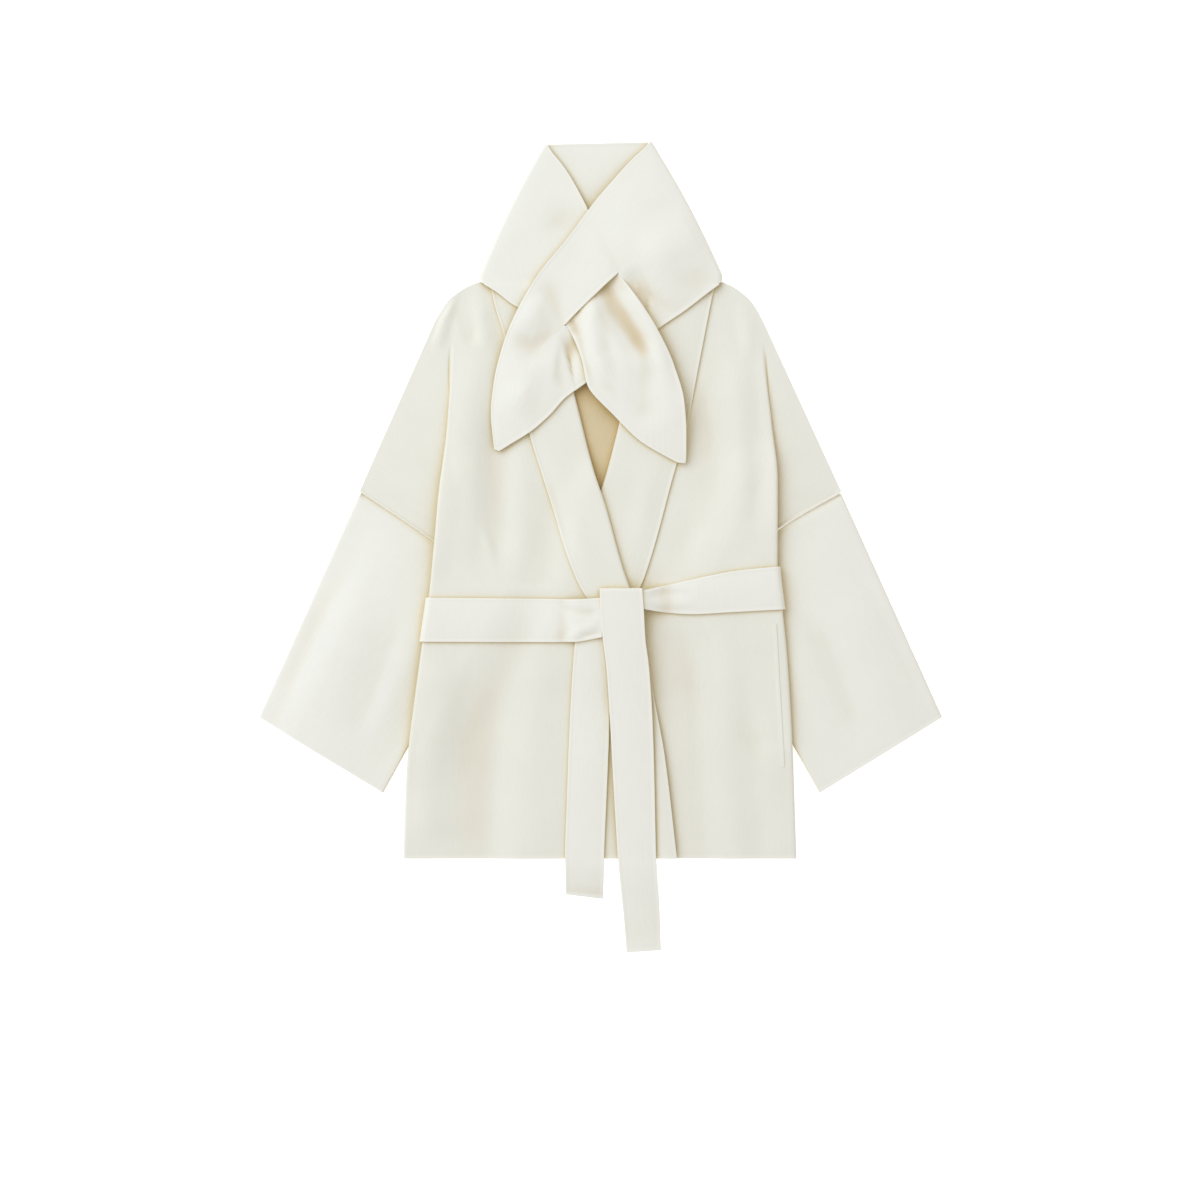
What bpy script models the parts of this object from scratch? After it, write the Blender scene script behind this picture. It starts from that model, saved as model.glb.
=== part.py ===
"""Robe coat of double-faced wool, laid flat with its front up.

X runs to the right as seen from above, Y towards the collar, Z up from the surface it lies on.
Every size below is in millimetres. Each piece is a wall of cloth: a grid of points on its middle
surface, thickened to both sides.
"""

import math
from collections import namedtuple

import bmesh
import bpy
import numpy as np
from mathutils import Vector

MM = 0.001
CLOTH = 2.6
BELT_CLOTH = 3.0
SEAM = 0.3
LAY = 0.8

LEFT = -1
RIGHT = 1

# The middle surfaces of the two lowest layers: the back on the floor and the fronts on it.
BACK_MID = CLOTH / 2
FRONT_MID = BACK_MID + CLOTH + 1.0

# The pleat at each side: the front folds over its own shoulder part and over the sleeve.
FOLD_RADIUS = 2.5
PLEAT_START = 300.0
PLEAT_FULL = 110.0
PLEAT_DEPTH = 78.0
PLEAT_SHALLOW = 2.0
PLEAT_DEEPENS = PLEAT_FULL + 20
UNDERARM_Y = -40.0
CREST = FRONT_MID + 4 * FOLD_RADIUS
SIDE_RAMP = 80.0
RAMP_SHARE = 0.85
SIDE_LAP = 8.0
SLEEVE_CLEAR = 2.0
FOLD_CLEAR = 3.0
KNEE_ROOM = 1.0
KNEE_DROP = 1.2
EASE = 22.0
SLIGHT_TURN = 0.3
FULL_TURN = 3.1
SHORTEST_CHORD = 0.7

Point = namedtuple("Point", "y x")
Sleeve = namedtuple("Sleeve", "seam_out underarm cuff_out cuff_in seam_bow")
Band = namedtuple("Band", "x top bottom")
Ridge = namedtuple("Ridge", "side out_top out_bottom y_top y_bottom width height")
Section = namedtuple("Section", "x1 y1 z1 x2 y2 z2 bow")
Level = namedtuple("Level", "y z")
Tail = namedtuple("Tail", "y left right lift slant")
Rise = namedtuple("Rise", "height reach fade")

# Distances out from the centre line; a negative one lies past it.
ROLL_LINE = (
    Point(350, 75),
    Point(192, 33),
    Point(96, 8.5),
    Point(57, -4.5),
    Point(-30, -29),
    Point(-53, -37),
    Point(-110, -54),
    Point(-153, -63),
    Point(-199, -70),
    Point(-268, -82.5),
    Point(-405, -99),
)
LAPEL_EDGE = {
    LEFT: (
        Point(348, 143),
        Point(331, 141),
        Point(273, 125),
        Point(152, 94),
        Point(57, 64),
        Point(-30, 36),
        Point(-65, 18),
        Point(-96, -20),
    ),
    RIGHT: (
        Point(348, 150),
        Point(330, 146),
        Point(233, 127),
        Point(156, 112),
        Point(91, 94),
        Point(-30, 60),
        Point(-55, 50),
        Point(-96, 10),
    ),
}
SIDE_FOLD = {
    LEFT: (
        Point(348, 112),
        Point(334, 140),
        Point(318, 160),
        Point(300, 176),
        Point(285, 184),
        Point(270, 189),
        Point(143, 201),
        Point(72, 210),
        Point(6, 216),
        Point(-55, 222),
        Point(-146, 234.6),
        Point(-303, 253),
        Point(-405, 257),
    ),
    RIGHT: (
        Point(348, 112),
        Point(334, 140),
        Point(318, 162),
        Point(300, 184),
        Point(285, 198),
        Point(270, 207),
        Point(223, 215),
        Point(158, 223),
        Point(86, 230),
        Point(-19, 230),
        Point(-87, 237),
        Point(-146, 243),
        Point(-303, 251.5),
        Point(-405, 255),
    ),
}
SHOULDER = {
    LEFT: (Point(348, 155), Point(334, 181), Point(321, 197), Point(308, 206), Point(295, 214)),
    RIGHT: (Point(348, 155), Point(334, 179), Point(321, 194), Point(308, 203), Point(295, 210)),
}
SLEEVES = {
    LEFT: Sleeve((313, 72), (136, -53), (445, -221), (283, -320), 3.0),
    RIGHT: Sleeve((313, 71), (136, -53), (445, -221), (285, -320), 9.0),
}
SLEEVE_PUFF = 1.8
PUFF_FULL = 0.35
SEAM_BOW_SHARE = 0.85
SEAM_LEAN = (0.4, -0.9)
SEAM_POINTS = 21
SLEEVE_RINGS = 7
SLEEVE_STEPS = 8
TUBE_STEPS = 4
HEM_Y = -405.0
NECK_Y = 339.0
FRONT_ROWS = (
    NECK_Y, 326, 312, 298, 282, 264, 244, 222, 190, 150, 110, 72, 34, 0, -20, UNDERARM_Y,
    -66, -94, -122, -150, -190, -230, -262, -300, -350, HEM_Y,
)
PANEL_STEPS = 12
RETURN_STEPS = 3
ARC_STEPS = 4
SHOULDER_STEPS = 3
BACK_STEPS = 8

# The belt: where its edges run across each front, from the knot out to the side.
BELT = {
    LEFT: (Band(-2, -66, -117), Band(34, -68, -123), Band(66, -67.5, -123.5), Band(230, -66, -123)),
    RIGHT: (
        Band(54, -57, -80),
        Band(86, -50, -85),
        Band(120, -42.5, -87),
        Band(170, -32, -84.5),
        Band(235, -25, -81),
    ),
}
BELT_MIDDLE = {LEFT: -94.0, RIGHT: -54.0}
BELT_HALF = 28.0
BELT_RISE = 3.2
BELT_RETURN = 30.0
BELT_SETTLE = 0.2
BELT_MIDDLE_OUT = 150.0
BELT_BACK_FROM = -136.0
BELT_BACK_TO = 128.0
BELT_ROWS = 5
BELT_STEPS = 13
BELT_TURN_STEPS = 7
BELT_BACK_STEPS = 7

# Room for the belt under the cloth: how far it reaches past the belt, and over what distance it fades.
SIDE_ROOM = Rise(BELT_RISE, 12.0, 24.0)
BACK_ROOM = Rise(BELT_CLOTH + LAY, 14.0, 26.0)
BACK_ROOM_OUT = 158.0
BACK_ROOM_OUT_FADE = 30.0

# The broad soft ridges of the fronts.
RIDGES = (
    Ridge(LEFT, 118, 104, 230, -60, 70, 2.5),
    Ridge(LEFT, 88, 96, -135, -405, 110, 2.8),
    Ridge(LEFT, -62, -92, -150, -405, 56, 3.0),
    Ridge(RIGHT, 176, 186, 280, 30, 60, 3.0),
    Ridge(RIGHT, 150, 176, -110, -405, 80, 5.0),
)
RIDGE_FADE = 70.0

# Heights of the left front where it lies on the right one: over the right lapel, then below the belt.
OVERLAP_LIFT = (Level(140, 0), Level(74, 7.4), Level(-104, 7.4), Level(-134, 3.6), Level(HEM_Y, 3.6))
OVERLAP_REACH = 68.0
OVERLAP_FADE = 60.0
LAPEL_RISE = 4.2
LAPEL_END = -96.0
LAPEL_STEPS = 5
ROLL_STEPS = 5
ROLL_INSET = 1.0

# Mid heights of the front's side fold below the underarm.
SIDE_CREST = (Level(UNDERARM_Y, CREST), Level(-262, CREST), Level(-320, 9.8), Level(HEM_Y, 9.4))

# The scarf, from each neck fold to its free end: the upper and lower edge of each section.
SCARF_LEFT = (
    Section(-68, 525, 6.5, -158, 347, 12.2, 0),
    Section(-46, 492, 6.5, -136, 332, 12.2, 0.5),
    Section(-18, 442, 8.2, -110, 313, 12.2, 1.0),
    Section(2, 396, 11.0, -66, 318, 11.6, 0.5),
    Section(17, 356, 16.2, -30, 306, 16.2, 0),
    Section(36, 334, 17.6, -29, 284, 16.8, 1.5),
    Section(72, 284, 19.4, -24, 243, 16.8, 3.0),
    Section(95, 235, 18.6, -17, 211, 16.2, 3.5),
    Section(108, 190, 16.8, 18, 171, 15.0, 3.0),
    Section(111, 150, 13.6, 52, 138, 13.6, 1.5),
    Section(111, 118, 12.8, 84, 119, 12.8, 0.5),
    Section(110, 109, 12.6, 101, 110, 12.6, 0),
)
SCARF_RIGHT = (
    Section(64, 528, 7.5, 158, 347, 12.6, 0),
    Section(40, 503, 9.0, 139, 330, 12.6, 4.0),
    Section(16, 476, 11.0, 109, 307, 12.4, 7.0),
    Section(-7, 449, 12.6, 78, 286, 12.2, 2.0),
    Section(-42, 402, 15.6, 25, 247, 12.2, 0),
    Section(-82, 352, 17.6, -24, 210, 12.2, 0),
    Section(-106, 310, 17.6, -46, 194, 12.2, 1.0),
    Section(-123, 272, 14.6, -66, 172, 12.2, 2.0),
    Section(-138, 215, 12.4, -90, 151, 12.2, 2.0),
    Section(-142, 175, 11.4, -114, 136, 11.6, 1.0),
    Section(-138, 127, 10.4, -132, 125, 10.4, 0),
)
NECK_BULGE = 4.0
NECK_STEPS = 4
SCARF_BACK_ROWS = 5
SCARF_BACK_STEPS = 6
ROLL_MARGIN = 4.0
LAPEL_MARGIN = 6.0
SLIT_FROM = 3
SLIT_TO = 5
UPPER_LIP = 8.0
LOWER_LIP = 1.8
SLIT_GAP = 1.6
SECTION_SPLIT = 3
SCARF_STEPS = 5

# The free belt ends: left and right edge at each height.
LONG_TAIL = (
    Tail(-57, -1, 54, 8.4, 0),
    Tail(-85, 0, 56, 8.6, 0),
    Tail(-120, 3, 58, 8.2, 0),
    Tail(-150, 7, 62, 6.0, 0),
    Tail(-218, 12, 67, 4.2, 0),
    Tail(-290, 16, 69.5, 1.2, 0),
    Tail(-360, 20, 71, 0, 0),
    Tail(-400, 22.5, 72, 0, 0),
    Tail(-420, 24, 73, 0, 0),
    Tail(-445, 26.5, 75, 0, 0),
    Tail(-480, 30, 77, 0, 0),
    Tail(-526.5, 34, 78.5, 0, -3),
)
SHORT_TAIL = (
    Tail(-104, -31, 2, 0, 0),
    Tail(-124, -33, 4, 0, 0),
    Tail(-160, -36, 8, 0, 0),
    Tail(-220, -39.5, 11.5, 0, 0),
    Tail(-281, -42, 9.5, 0, 0),
    Tail(-340, -44, 7, 0, 0),
    Tail(-400, -46, 4.5, 0, 0),
    Tail(-428, -45.5, 4, 0, 0),
    Tail(-455, -45, 3, 0, 6),
)
TAIL_STEPS = 4
DROP_FROM = 5.0
DROP_TO_FLOOR = 60.0
KNOT_RADIUS = 2.2
KNOT_STEPS = 5

# The belt's rise beside the knot: over the lapel at the left, over the short end at the right.
KNOT_RISE = {LEFT: Rise(LAPEL_RISE + 0.6, 52.0, 24.0), RIGHT: Rise(10.5, 92.0, 40.0)}

# The pocket slit at the right, with its narrow sewn edge.
POCKET_FROM = (-100.0, 224.0)
POCKET_TO = (-286.0, 235.0)
POCKET_WIDTH = 9.0
POCKET_CLOTH = 1.4
POCKET_LAY = 0.5
POCKET_ROWS = 9


def soft(t):
    """An even rise from 0 to 1 that starts and ends level."""
    t = min(max(t, 0.0), 1.0)
    return t * t * (3 - 2 * t)


def mix(a, b, t):
    return a + (b - a) * t


def across(line, y):
    """The distance out of a line of Points at height y."""
    return float(np.interp(-y, [-p.y for p in line], [p.x for p in line]))


def level(levels, y):
    return float(np.interp(-y, [-p.y for p in levels], [p.z for p in levels]))


def belt_edges(side, out):
    """The upper and lower edge of the belt at a distance out from the centre."""
    bands = BELT[side]
    outs = [b.x for b in bands]
    top = float(np.interp(out, outs, [b.top for b in bands]))
    bottom = float(np.interp(out, outs, [b.bottom for b in bands]))
    return top, bottom


def under_belt(side, y):
    """The rise of the front's side over the belt that runs round it."""
    away = abs(y - BELT_MIDDLE[side]) - BELT_HALF
    return SIDE_ROOM.height * (1 - soft((away - SIDE_ROOM.reach) / SIDE_ROOM.fade))


def seam_point(sleeve, t):
    """A point of the dropped armhole seam, which bows a little towards the shoulder."""
    start = Vector(sleeve.seam_out)
    end = Vector(sleeve.underarm)
    run = (end - start).normalized()
    return start.lerp(end, t) + Vector((run.y, -run.x)) * (sleeve.seam_bow * math.sin(math.pi * t))


def outer_line(side, y):
    """Where the shoulder part ends: along the shoulder, the sleeve's fold, then the dropped armhole seam."""
    sleeve = SLEEVES[side]
    shoulder = SHOULDER[side]
    if y >= shoulder[-1].y:
        return across(shoulder, y)
    if y >= sleeve.seam_out[1]:
        t = (shoulder[-1].y - y) / (shoulder[-1].y - sleeve.seam_out[1])
        return mix(shoulder[-1].x, sleeve.seam_out[0], t)
    seam = [seam_point(sleeve, float(t)) for t in np.linspace(0, 1, SEAM_POINTS)]
    return float(np.interp(-y, [-p.y for p in seam], [p.x for p in seam]))


def sleeve_inner(side, y):
    """The distance out of the sleeve's inner fold at height y."""
    sleeve = SLEEVES[side]
    t = (sleeve.underarm[1] - y) / (sleeve.underarm[1] - sleeve.cuff_in[1])
    return mix(sleeve.underarm[0], sleeve.cuff_in[0], max(t, 0.0))


def back_edge(side, y):
    """The side edge of the back: the armhole seam, then the side seam."""
    if y >= SLEEVES[side].underarm[1]:
        return outer_line(side, y) - SEAM
    return min(sleeve_inner(side, y) - SLEEVE_CLEAR, across(SIDE_FOLD[side], y) - FOLD_CLEAR)


def pleat_turn(y):
    return math.pi * soft((PLEAT_START - y) / (PLEAT_START - PLEAT_FULL))


def pleat_depth(side, y):
    """How far the front's fold runs back under it."""
    if y >= UNDERARM_Y:
        share = (PLEAT_DEEPENS - y) / (PLEAT_DEEPENS - UNDERARM_Y)
        return PLEAT_SHALLOW + PLEAT_DEPTH * max(0.0, share)
    return across(SIDE_FOLD[side], y) - FOLD_RADIUS - back_edge(side, y) + SIDE_LAP


def side_crest(side, y):
    """The mid height of the front at its side fold."""
    if y < UNDERARM_Y:
        return level(SIDE_CREST, y) + under_belt(side, y)
    turn = pleat_turn(y)
    if turn > FULL_TURN:
        return CREST + under_belt(side, y)
    drop = 2 * FOLD_RADIUS * (1 - math.cos(turn)) + pleat_depth(side, y) * math.sin(turn)
    return FRONT_MID + drop


def overlap_lift(side, out, y):
    """The left front's rise over the right front and its lapel."""
    if side == RIGHT:
        return 0.0
    reach = -across(ROLL_LINE, y)
    return level(OVERLAP_LIFT, y) * soft((reach + OVERLAP_REACH - out) / OVERLAP_FADE)


def ridges(side, out, y):
    height = 0.0
    for ridge in RIDGES:
        if ridge.side != side or not ridge.y_bottom - 1 <= y <= ridge.y_top:
            continue
        t = (ridge.y_top - y) / (ridge.y_top - ridge.y_bottom)
        middle = mix(ridge.out_top, ridge.out_bottom, t)
        near = 1 - abs(out - middle) / (ridge.width / 2)
        ends = soft((ridge.y_top - y) / RIDGE_FADE)
        if ridge.y_bottom > HEM_Y:
            ends = min(ends, soft((y - ridge.y_bottom) / RIDGE_FADE))
        height += ridge.height * soft(near) * ends
    return height


def panel_height(side, out, y):
    """The mid height of a front's main panel at a distance out from the centre."""
    fold = across(SIDE_FOLD[side], y)
    inner = fold - FOLD_RADIUS - pleat_depth(side, y)
    crest = side_crest(side, y)
    share = RAMP_SHARE * soft((out - inner + SIDE_RAMP) / SIDE_RAMP)
    share += (1 - RAMP_SHARE) * min(max((out - inner) / max(fold - inner, 1.0), 0.0), 1.0)
    height = FRONT_MID + back_lift(side * out, y) * (1 - share) + (crest - FRONT_MID) * share
    return height + overlap_lift(side, out, y) + ridges(side, out, y)


def panel_outs(side, y):
    """The distances out of the panel's own points at height y."""
    fold = across(SIDE_FOLD[side], y)
    bend_at = fold - FOLD_RADIUS * math.sin(min(pleat_turn(y), math.pi / 2)) - CLOTH / 2
    return [mix(front_edge(y), bend_at, k / PANEL_STEPS) for k in range(PANEL_STEPS + 1)]


def rest_height(side, out, y):
    """The mid height of the panel as built, between its own points."""
    y = min(max(y, FRONT_ROWS[-1]), FRONT_ROWS[0])
    above = min(row for row in FRONT_ROWS if row >= y)
    below = max(row for row in FRONT_ROWS if row <= y)
    heights = []
    for row in (above, below):
        outs = panel_outs(side, row)
        heights.append(float(np.interp(out, outs, [panel_height(side, o, row) for o in outs])))
    if above == below:
        return heights[0]
    return mix(heights[0], heights[1], (above - y) / (above - below))


def scarf_seat(x, y):
    """The lowest mid height of a scarf half that lies on the fronts and lapels."""
    side = LEFT if x < 0 else RIGHT
    out = abs(x)
    if y > FRONT_ROWS[0] or out < across(ROLL_LINE, y) - ROLL_MARGIN:
        return 0.0
    rise = LAPEL_RISE if out < across(LAPEL_EDGE[side], y) + LAPEL_MARGIN else 0.0
    return rest_height(side, out, y) + rise + CLOTH + LAY


def front_edge(y):
    """Where the front's own cloth starts: set back behind the lapel's roll, and at the edge below it."""
    hidden = LAPEL_RISE / 2 + ROLL_INSET if y > LAPEL_END - ROLL_MARGIN else 0.0
    return across(ROLL_LINE, y) + hidden


def arc(start_out, start_z, turn_from, turn_to, radius):
    """Points of a bend that starts heading at turn_from and ends at turn_to, bending down then back."""
    points = []
    out, z = start_out, start_z
    swing = turn_to - turn_from
    piece = abs(swing) / ARC_STEPS
    chord = max(2 * radius * math.sin(piece / 2), SHORTEST_CHORD)
    for k in range(ARC_STEPS):
        heading = turn_from + swing * (k + 0.5) / ARC_STEPS
        out += chord * math.cos(heading)
        z -= chord * math.sin(heading)
        points.append((out, z))
    return points


def front_section(side, y, shoulder):
    """The front across the coat at height y, as (out, z) points from its front edge round its side fold."""
    turn = pleat_turn(y)
    depth = pleat_depth(side, y)
    points = [(out, panel_height(side, out, y)) for out in panel_outs(side, y)]
    out, z = points[-1]
    points += arc(out, z, 0.0, turn, FOLD_RADIUS)
    out, z = points[-1]
    if shoulder:
        for k in range(1, RETURN_STEPS + 1):
            share = k / RETURN_STEPS
            points.append((out + depth * share * math.cos(turn), z - depth * share * math.sin(turn)))
        out, z = points[-1]
        low = FRONT_MID + back_lift(side * (out - EASE), y)
        second = (z - low) / (1 - math.cos(turn)) if turn > SLIGHT_TURN else FOLD_RADIUS
        points += arc(out, z, turn, 0.0, second)
        out, z = points[-1]
        end = outer_line(side, y) - SEAM
        for k in range(1, SHOULDER_STEPS + 1):
            across_by = mix(out, end, k / SHOULDER_STEPS)
            points.append((across_by, FRONT_MID + back_lift(side * (across_by - EASE), y)))
        return points
    end = back_edge(side, y) - SIDE_LAP
    end_z = BACK_MID + CLOTH + LAY + back_lift(side * end, y)
    knee = min(end + SIDE_LAP + KNEE_ROOM, out - KNEE_ROOM)
    knee_z = max(z - KNEE_DROP, end_z)
    for k in range(1, RETURN_STEPS):
        share = k / (RETURN_STEPS - 1)
        points.append((mix(out, knee, share), mix(z, knee_z, share)))
    points.append((end, end_z))
    return points


def back_belt_middle(x):
    share = (x + BELT_MIDDLE_OUT) / (2 * BELT_MIDDLE_OUT)
    return mix(BELT_MIDDLE[LEFT], BELT_MIDDLE[RIGHT], share)


def back_lift(x, y):
    """The back's rise over the belt that runs under it."""
    away = abs(y - back_belt_middle(x)) - BELT_HALF
    beside = 1 - soft((abs(x) - BACK_ROOM_OUT) / BACK_ROOM_OUT_FADE)
    return BACK_ROOM.height * beside * (1 - soft((away - BACK_ROOM.reach) / BACK_ROOM.fade))


def cloth_material(name, colour):
    material = bpy.data.materials.new(name)
    material.use_nodes = True
    shader = material.node_tree.nodes["Principled BSDF"]
    shader.inputs["Base Color"].default_value = (*colour, 1)
    shader.inputs["Roughness"].default_value = 0.92
    shader.inputs["Metallic"].default_value = 0.0
    material.diffuse_color = (*colour, 1)
    return material


def cloth_wall(name, rows, thickness, material, closed=False):
    """A wall of cloth on rows of points; a shorter row ends the sheet there."""
    bm = bmesh.new()
    grid = [[bm.verts.new(Vector(p) * MM) for p in row] for row in rows]
    for upper, lower in zip(grid, grid[1:]):
        steps = min(len(upper), len(lower)) - 1
        for k in range(steps):
            bm.faces.new((upper[k], lower[k], lower[k + 1], upper[k + 1]))
        if closed:
            bm.faces.new((upper[steps], lower[steps], lower[0], upper[0]))
    return thicken(name, bm, thickness, material)


def thicken(name, bm, thickness, material):
    bmesh.ops.recalc_face_normals(bm, faces=bm.faces)
    mesh = bpy.data.meshes.new(name)
    bm.to_mesh(mesh)
    bm.free()
    mesh.materials.append(material)
    piece = bpy.data.objects.new(name, mesh)
    bpy.context.scene.collection.objects.link(piece)
    wall = piece.modifiers.new("cloth thickness", "SOLIDIFY")
    wall.thickness = thickness * MM
    wall.offset = 0.0
    wall.use_even_offset = True
    wall.use_quality_normals = True
    return piece


def make_front(name, side, material):
    rows = []
    for y in FRONT_ROWS:
        section = front_section(side, y, y >= UNDERARM_Y)
        rows.append([(side * out, y, z) for out, z in section])
    return cloth_wall(name, rows, CLOTH, material)


def make_back(material):
    """One flat panel on the floor, from the neck seam to the hem, that passes over the belt."""
    sleeve = SLEEVES[LEFT]
    heights = list(FRONT_ROWS) + [sleeve.seam_out[1], sleeve.underarm[1]]
    rows = []
    for y in sorted(set(heights), reverse=True):
        left = -back_edge(LEFT, y)
        right = back_edge(RIGHT, y)
        row = []
        for k in range(BACK_STEPS + 1):
            x = mix(left, right, k / BACK_STEPS)
            row.append((x, y, BACK_MID + back_lift(x, y)))
        rows.append(row)
    return cloth_wall("back", rows, CLOTH, material)


def make_sleeve(name, side, material):
    """A flattened tube from the armhole seam to the open cuff."""
    sleeve = SLEEVES[side]
    radius = (FRONT_MID - BACK_MID) / 2
    inset = radius + CLOTH / 2
    rings = []
    for ring_number in range(SLEEVE_RINGS):
        share = ring_number / (SLEEVE_RINGS - 1)
        outer = Vector((*sleeve.seam_out, 0)).lerp(Vector((*sleeve.cuff_out, 0)), share)
        inner = Vector((*sleeve.underarm, 0)).lerp(Vector((*sleeve.cuff_in, 0)), share)
        along = (inner - outer).normalized()
        a = outer + along * inset
        b = inner - along * inset
        puff = SLEEVE_PUFF * soft(share / PUFF_FULL)
        bow = Vector((along.y, -along.x, 0)) * (SEAM_BOW_SHARE * sleeve.seam_bow * (1 - share) ** 3)
        ring = []
        for k in range(SLEEVE_STEPS + 1):
            p = a.lerp(b, k / SLEEVE_STEPS) + bow * math.sin(math.pi * k / SLEEVE_STEPS)
            ring.append((p.x, p.y, BACK_MID))
        for k in range(1, TUBE_STEPS):
            angle = -math.pi / 2 + math.pi * k / TUBE_STEPS
            p = b + along * (radius * math.cos(angle))
            ring.append((p.x, p.y, BACK_MID + radius + radius * math.sin(angle)))
        for k in range(SLEEVE_STEPS + 1):
            hump = math.sin(math.pi * k / SLEEVE_STEPS)
            p = b.lerp(a, k / SLEEVE_STEPS) + bow * hump
            ring.append((p.x, p.y, FRONT_MID + puff * hump))
        for k in range(1, TUBE_STEPS):
            angle = math.pi / 2 - math.pi * k / TUBE_STEPS
            p = a - along * (radius * math.cos(angle))
            ring.append((p.x, p.y, BACK_MID + radius + radius * math.sin(angle)))
        rings.append([(side * x, y, z) for x, y, z in ring])
    gap = Vector((side * SEAM_LEAN[0], SEAM_LEAN[1], 0)).normalized() * 2 * SEAM
    rings[0] = [(x + gap.x, y + gap.y, z) for x, y, z in rings[0]]
    return cloth_wall(name, rings, CLOTH, material, closed=True)


def make_lapel(name, side, material):
    """The turned-back lapel: made from the front's points moved up, then rolled round the front's edge."""
    radius = LAPEL_RISE / 2
    rows = []
    heights = [y for y in FRONT_ROWS if LAPEL_END - 1 <= y]
    for y in heights:
        edge = across(ROLL_LINE, y) + radius + CLOTH / 2 - ROLL_INSET
        outer = across(LAPEL_EDGE[side], y)
        row = []
        for k in range(LAPEL_STEPS + 1):
            out = mix(outer, edge, k / LAPEL_STEPS)
            row.append((out, rest_height(side, out, y) + LAPEL_RISE))
        low = rest_height(side, edge, y)
        for k in range(1, ROLL_STEPS + 1):
            angle = math.pi / 2 + math.pi * k / ROLL_STEPS
            row.append((edge + radius * math.cos(angle), low + radius + radius * math.sin(angle)))
        rows.append([(side * out, y, z) for out, z in row])
    return cloth_wall(name, rows, CLOTH, material)


def blend(sections, u):
    k = min(int(u), len(sections) - 2)
    return Section(*(mix(a, b, u - k) for a, b in zip(sections[k], sections[k + 1])))


def fold_away(section):
    """The direction out of a neck fold, square to it."""
    away = Vector((section.y2 - section.y1, section.x1 - section.x2, 0)).normalized()
    return away if away.x * (section.x1 + section.x2) > 0 else -away


def fold_rows(section, steps):
    """The roll at a neck fold, from the level of the back up to the first section."""
    a = Vector((section.x1, section.y1, 0))
    b = Vector((section.x2, section.y2, 0))
    away = fold_away(section)
    rows = []
    for k in range(NECK_STEPS + 1):
        angle = -math.pi / 2 + math.pi * k / NECK_STEPS
        row = []
        for v in range(steps + 1):
            share = v / steps
            top = mix(section.z1, section.z2, share)
            radius = (top - BACK_MID) / 2
            bulge = NECK_BULGE * math.sin(math.pi * share)
            p = a.lerp(b, share) + away * (radius * math.cos(angle) - radius - CLOTH / 2 + bulge)
            row.append((p.x, p.y, BACK_MID + radius + radius * math.sin(angle)))
        rows.append(row)
    return rows


def section_row(section, steps):
    """Points across a scarf half, bowed up in the middle and never below what it lies on."""
    row = []
    for k in range(steps + 1):
        share = k / steps
        x = mix(section.x1, section.x2, share)
        y = mix(section.y1, section.y2, share)
        z = mix(section.z1, section.z2, share) + section.bow * math.sin(math.pi * share)
        row.append((x, y, max(z, scarf_seat(x, y))))
    return row


def make_scarf_back(material):
    """The flat stretch behind the neck, between the two neck folds."""
    a, b = SCARF_LEFT[0], SCARF_RIGHT[0]
    lean = abs(fold_away(a).x)
    bottom = NECK_Y + SEAM
    rows = []
    for v in np.linspace(0, 1, SCARF_BACK_ROWS):
        inset_left = ((mix(a.z1, a.z2, v) - BACK_MID) / 2 + CLOTH / 2) / lean + 2 * SEAM
        inset_right = ((mix(b.z1, b.z2, v) - BACK_MID) / 2 + CLOTH / 2) / lean + 2 * SEAM
        left = mix(a.x1, a.x2, v) + inset_left
        right = mix(b.x1, b.x2, v) - inset_right
        y_left = mix(a.y1, bottom, v)
        y_right = mix(b.y1, bottom, v)
        row = []
        for k in range(SCARF_BACK_STEPS + 1):
            share = k / SCARF_BACK_STEPS
            row.append((mix(left, right, share), mix(y_left, y_right, share), BACK_MID))
        rows.append(row)
    return cloth_wall("scarf_back", rows, CLOTH, material)


def make_scarf_left(material):
    """From the left neck fold, under the right half, through its slit and down to the free end."""
    steps = 2 * SCARF_STEPS
    rows = fold_rows(SCARF_LEFT[0], steps)
    count = (len(SCARF_LEFT) - 1) * 2
    for k in range(1, count + 1):
        rows.append(section_row(blend(SCARF_LEFT, k / 2), steps))
    return cloth_wall("scarf_left", rows, CLOTH, material)


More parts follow.
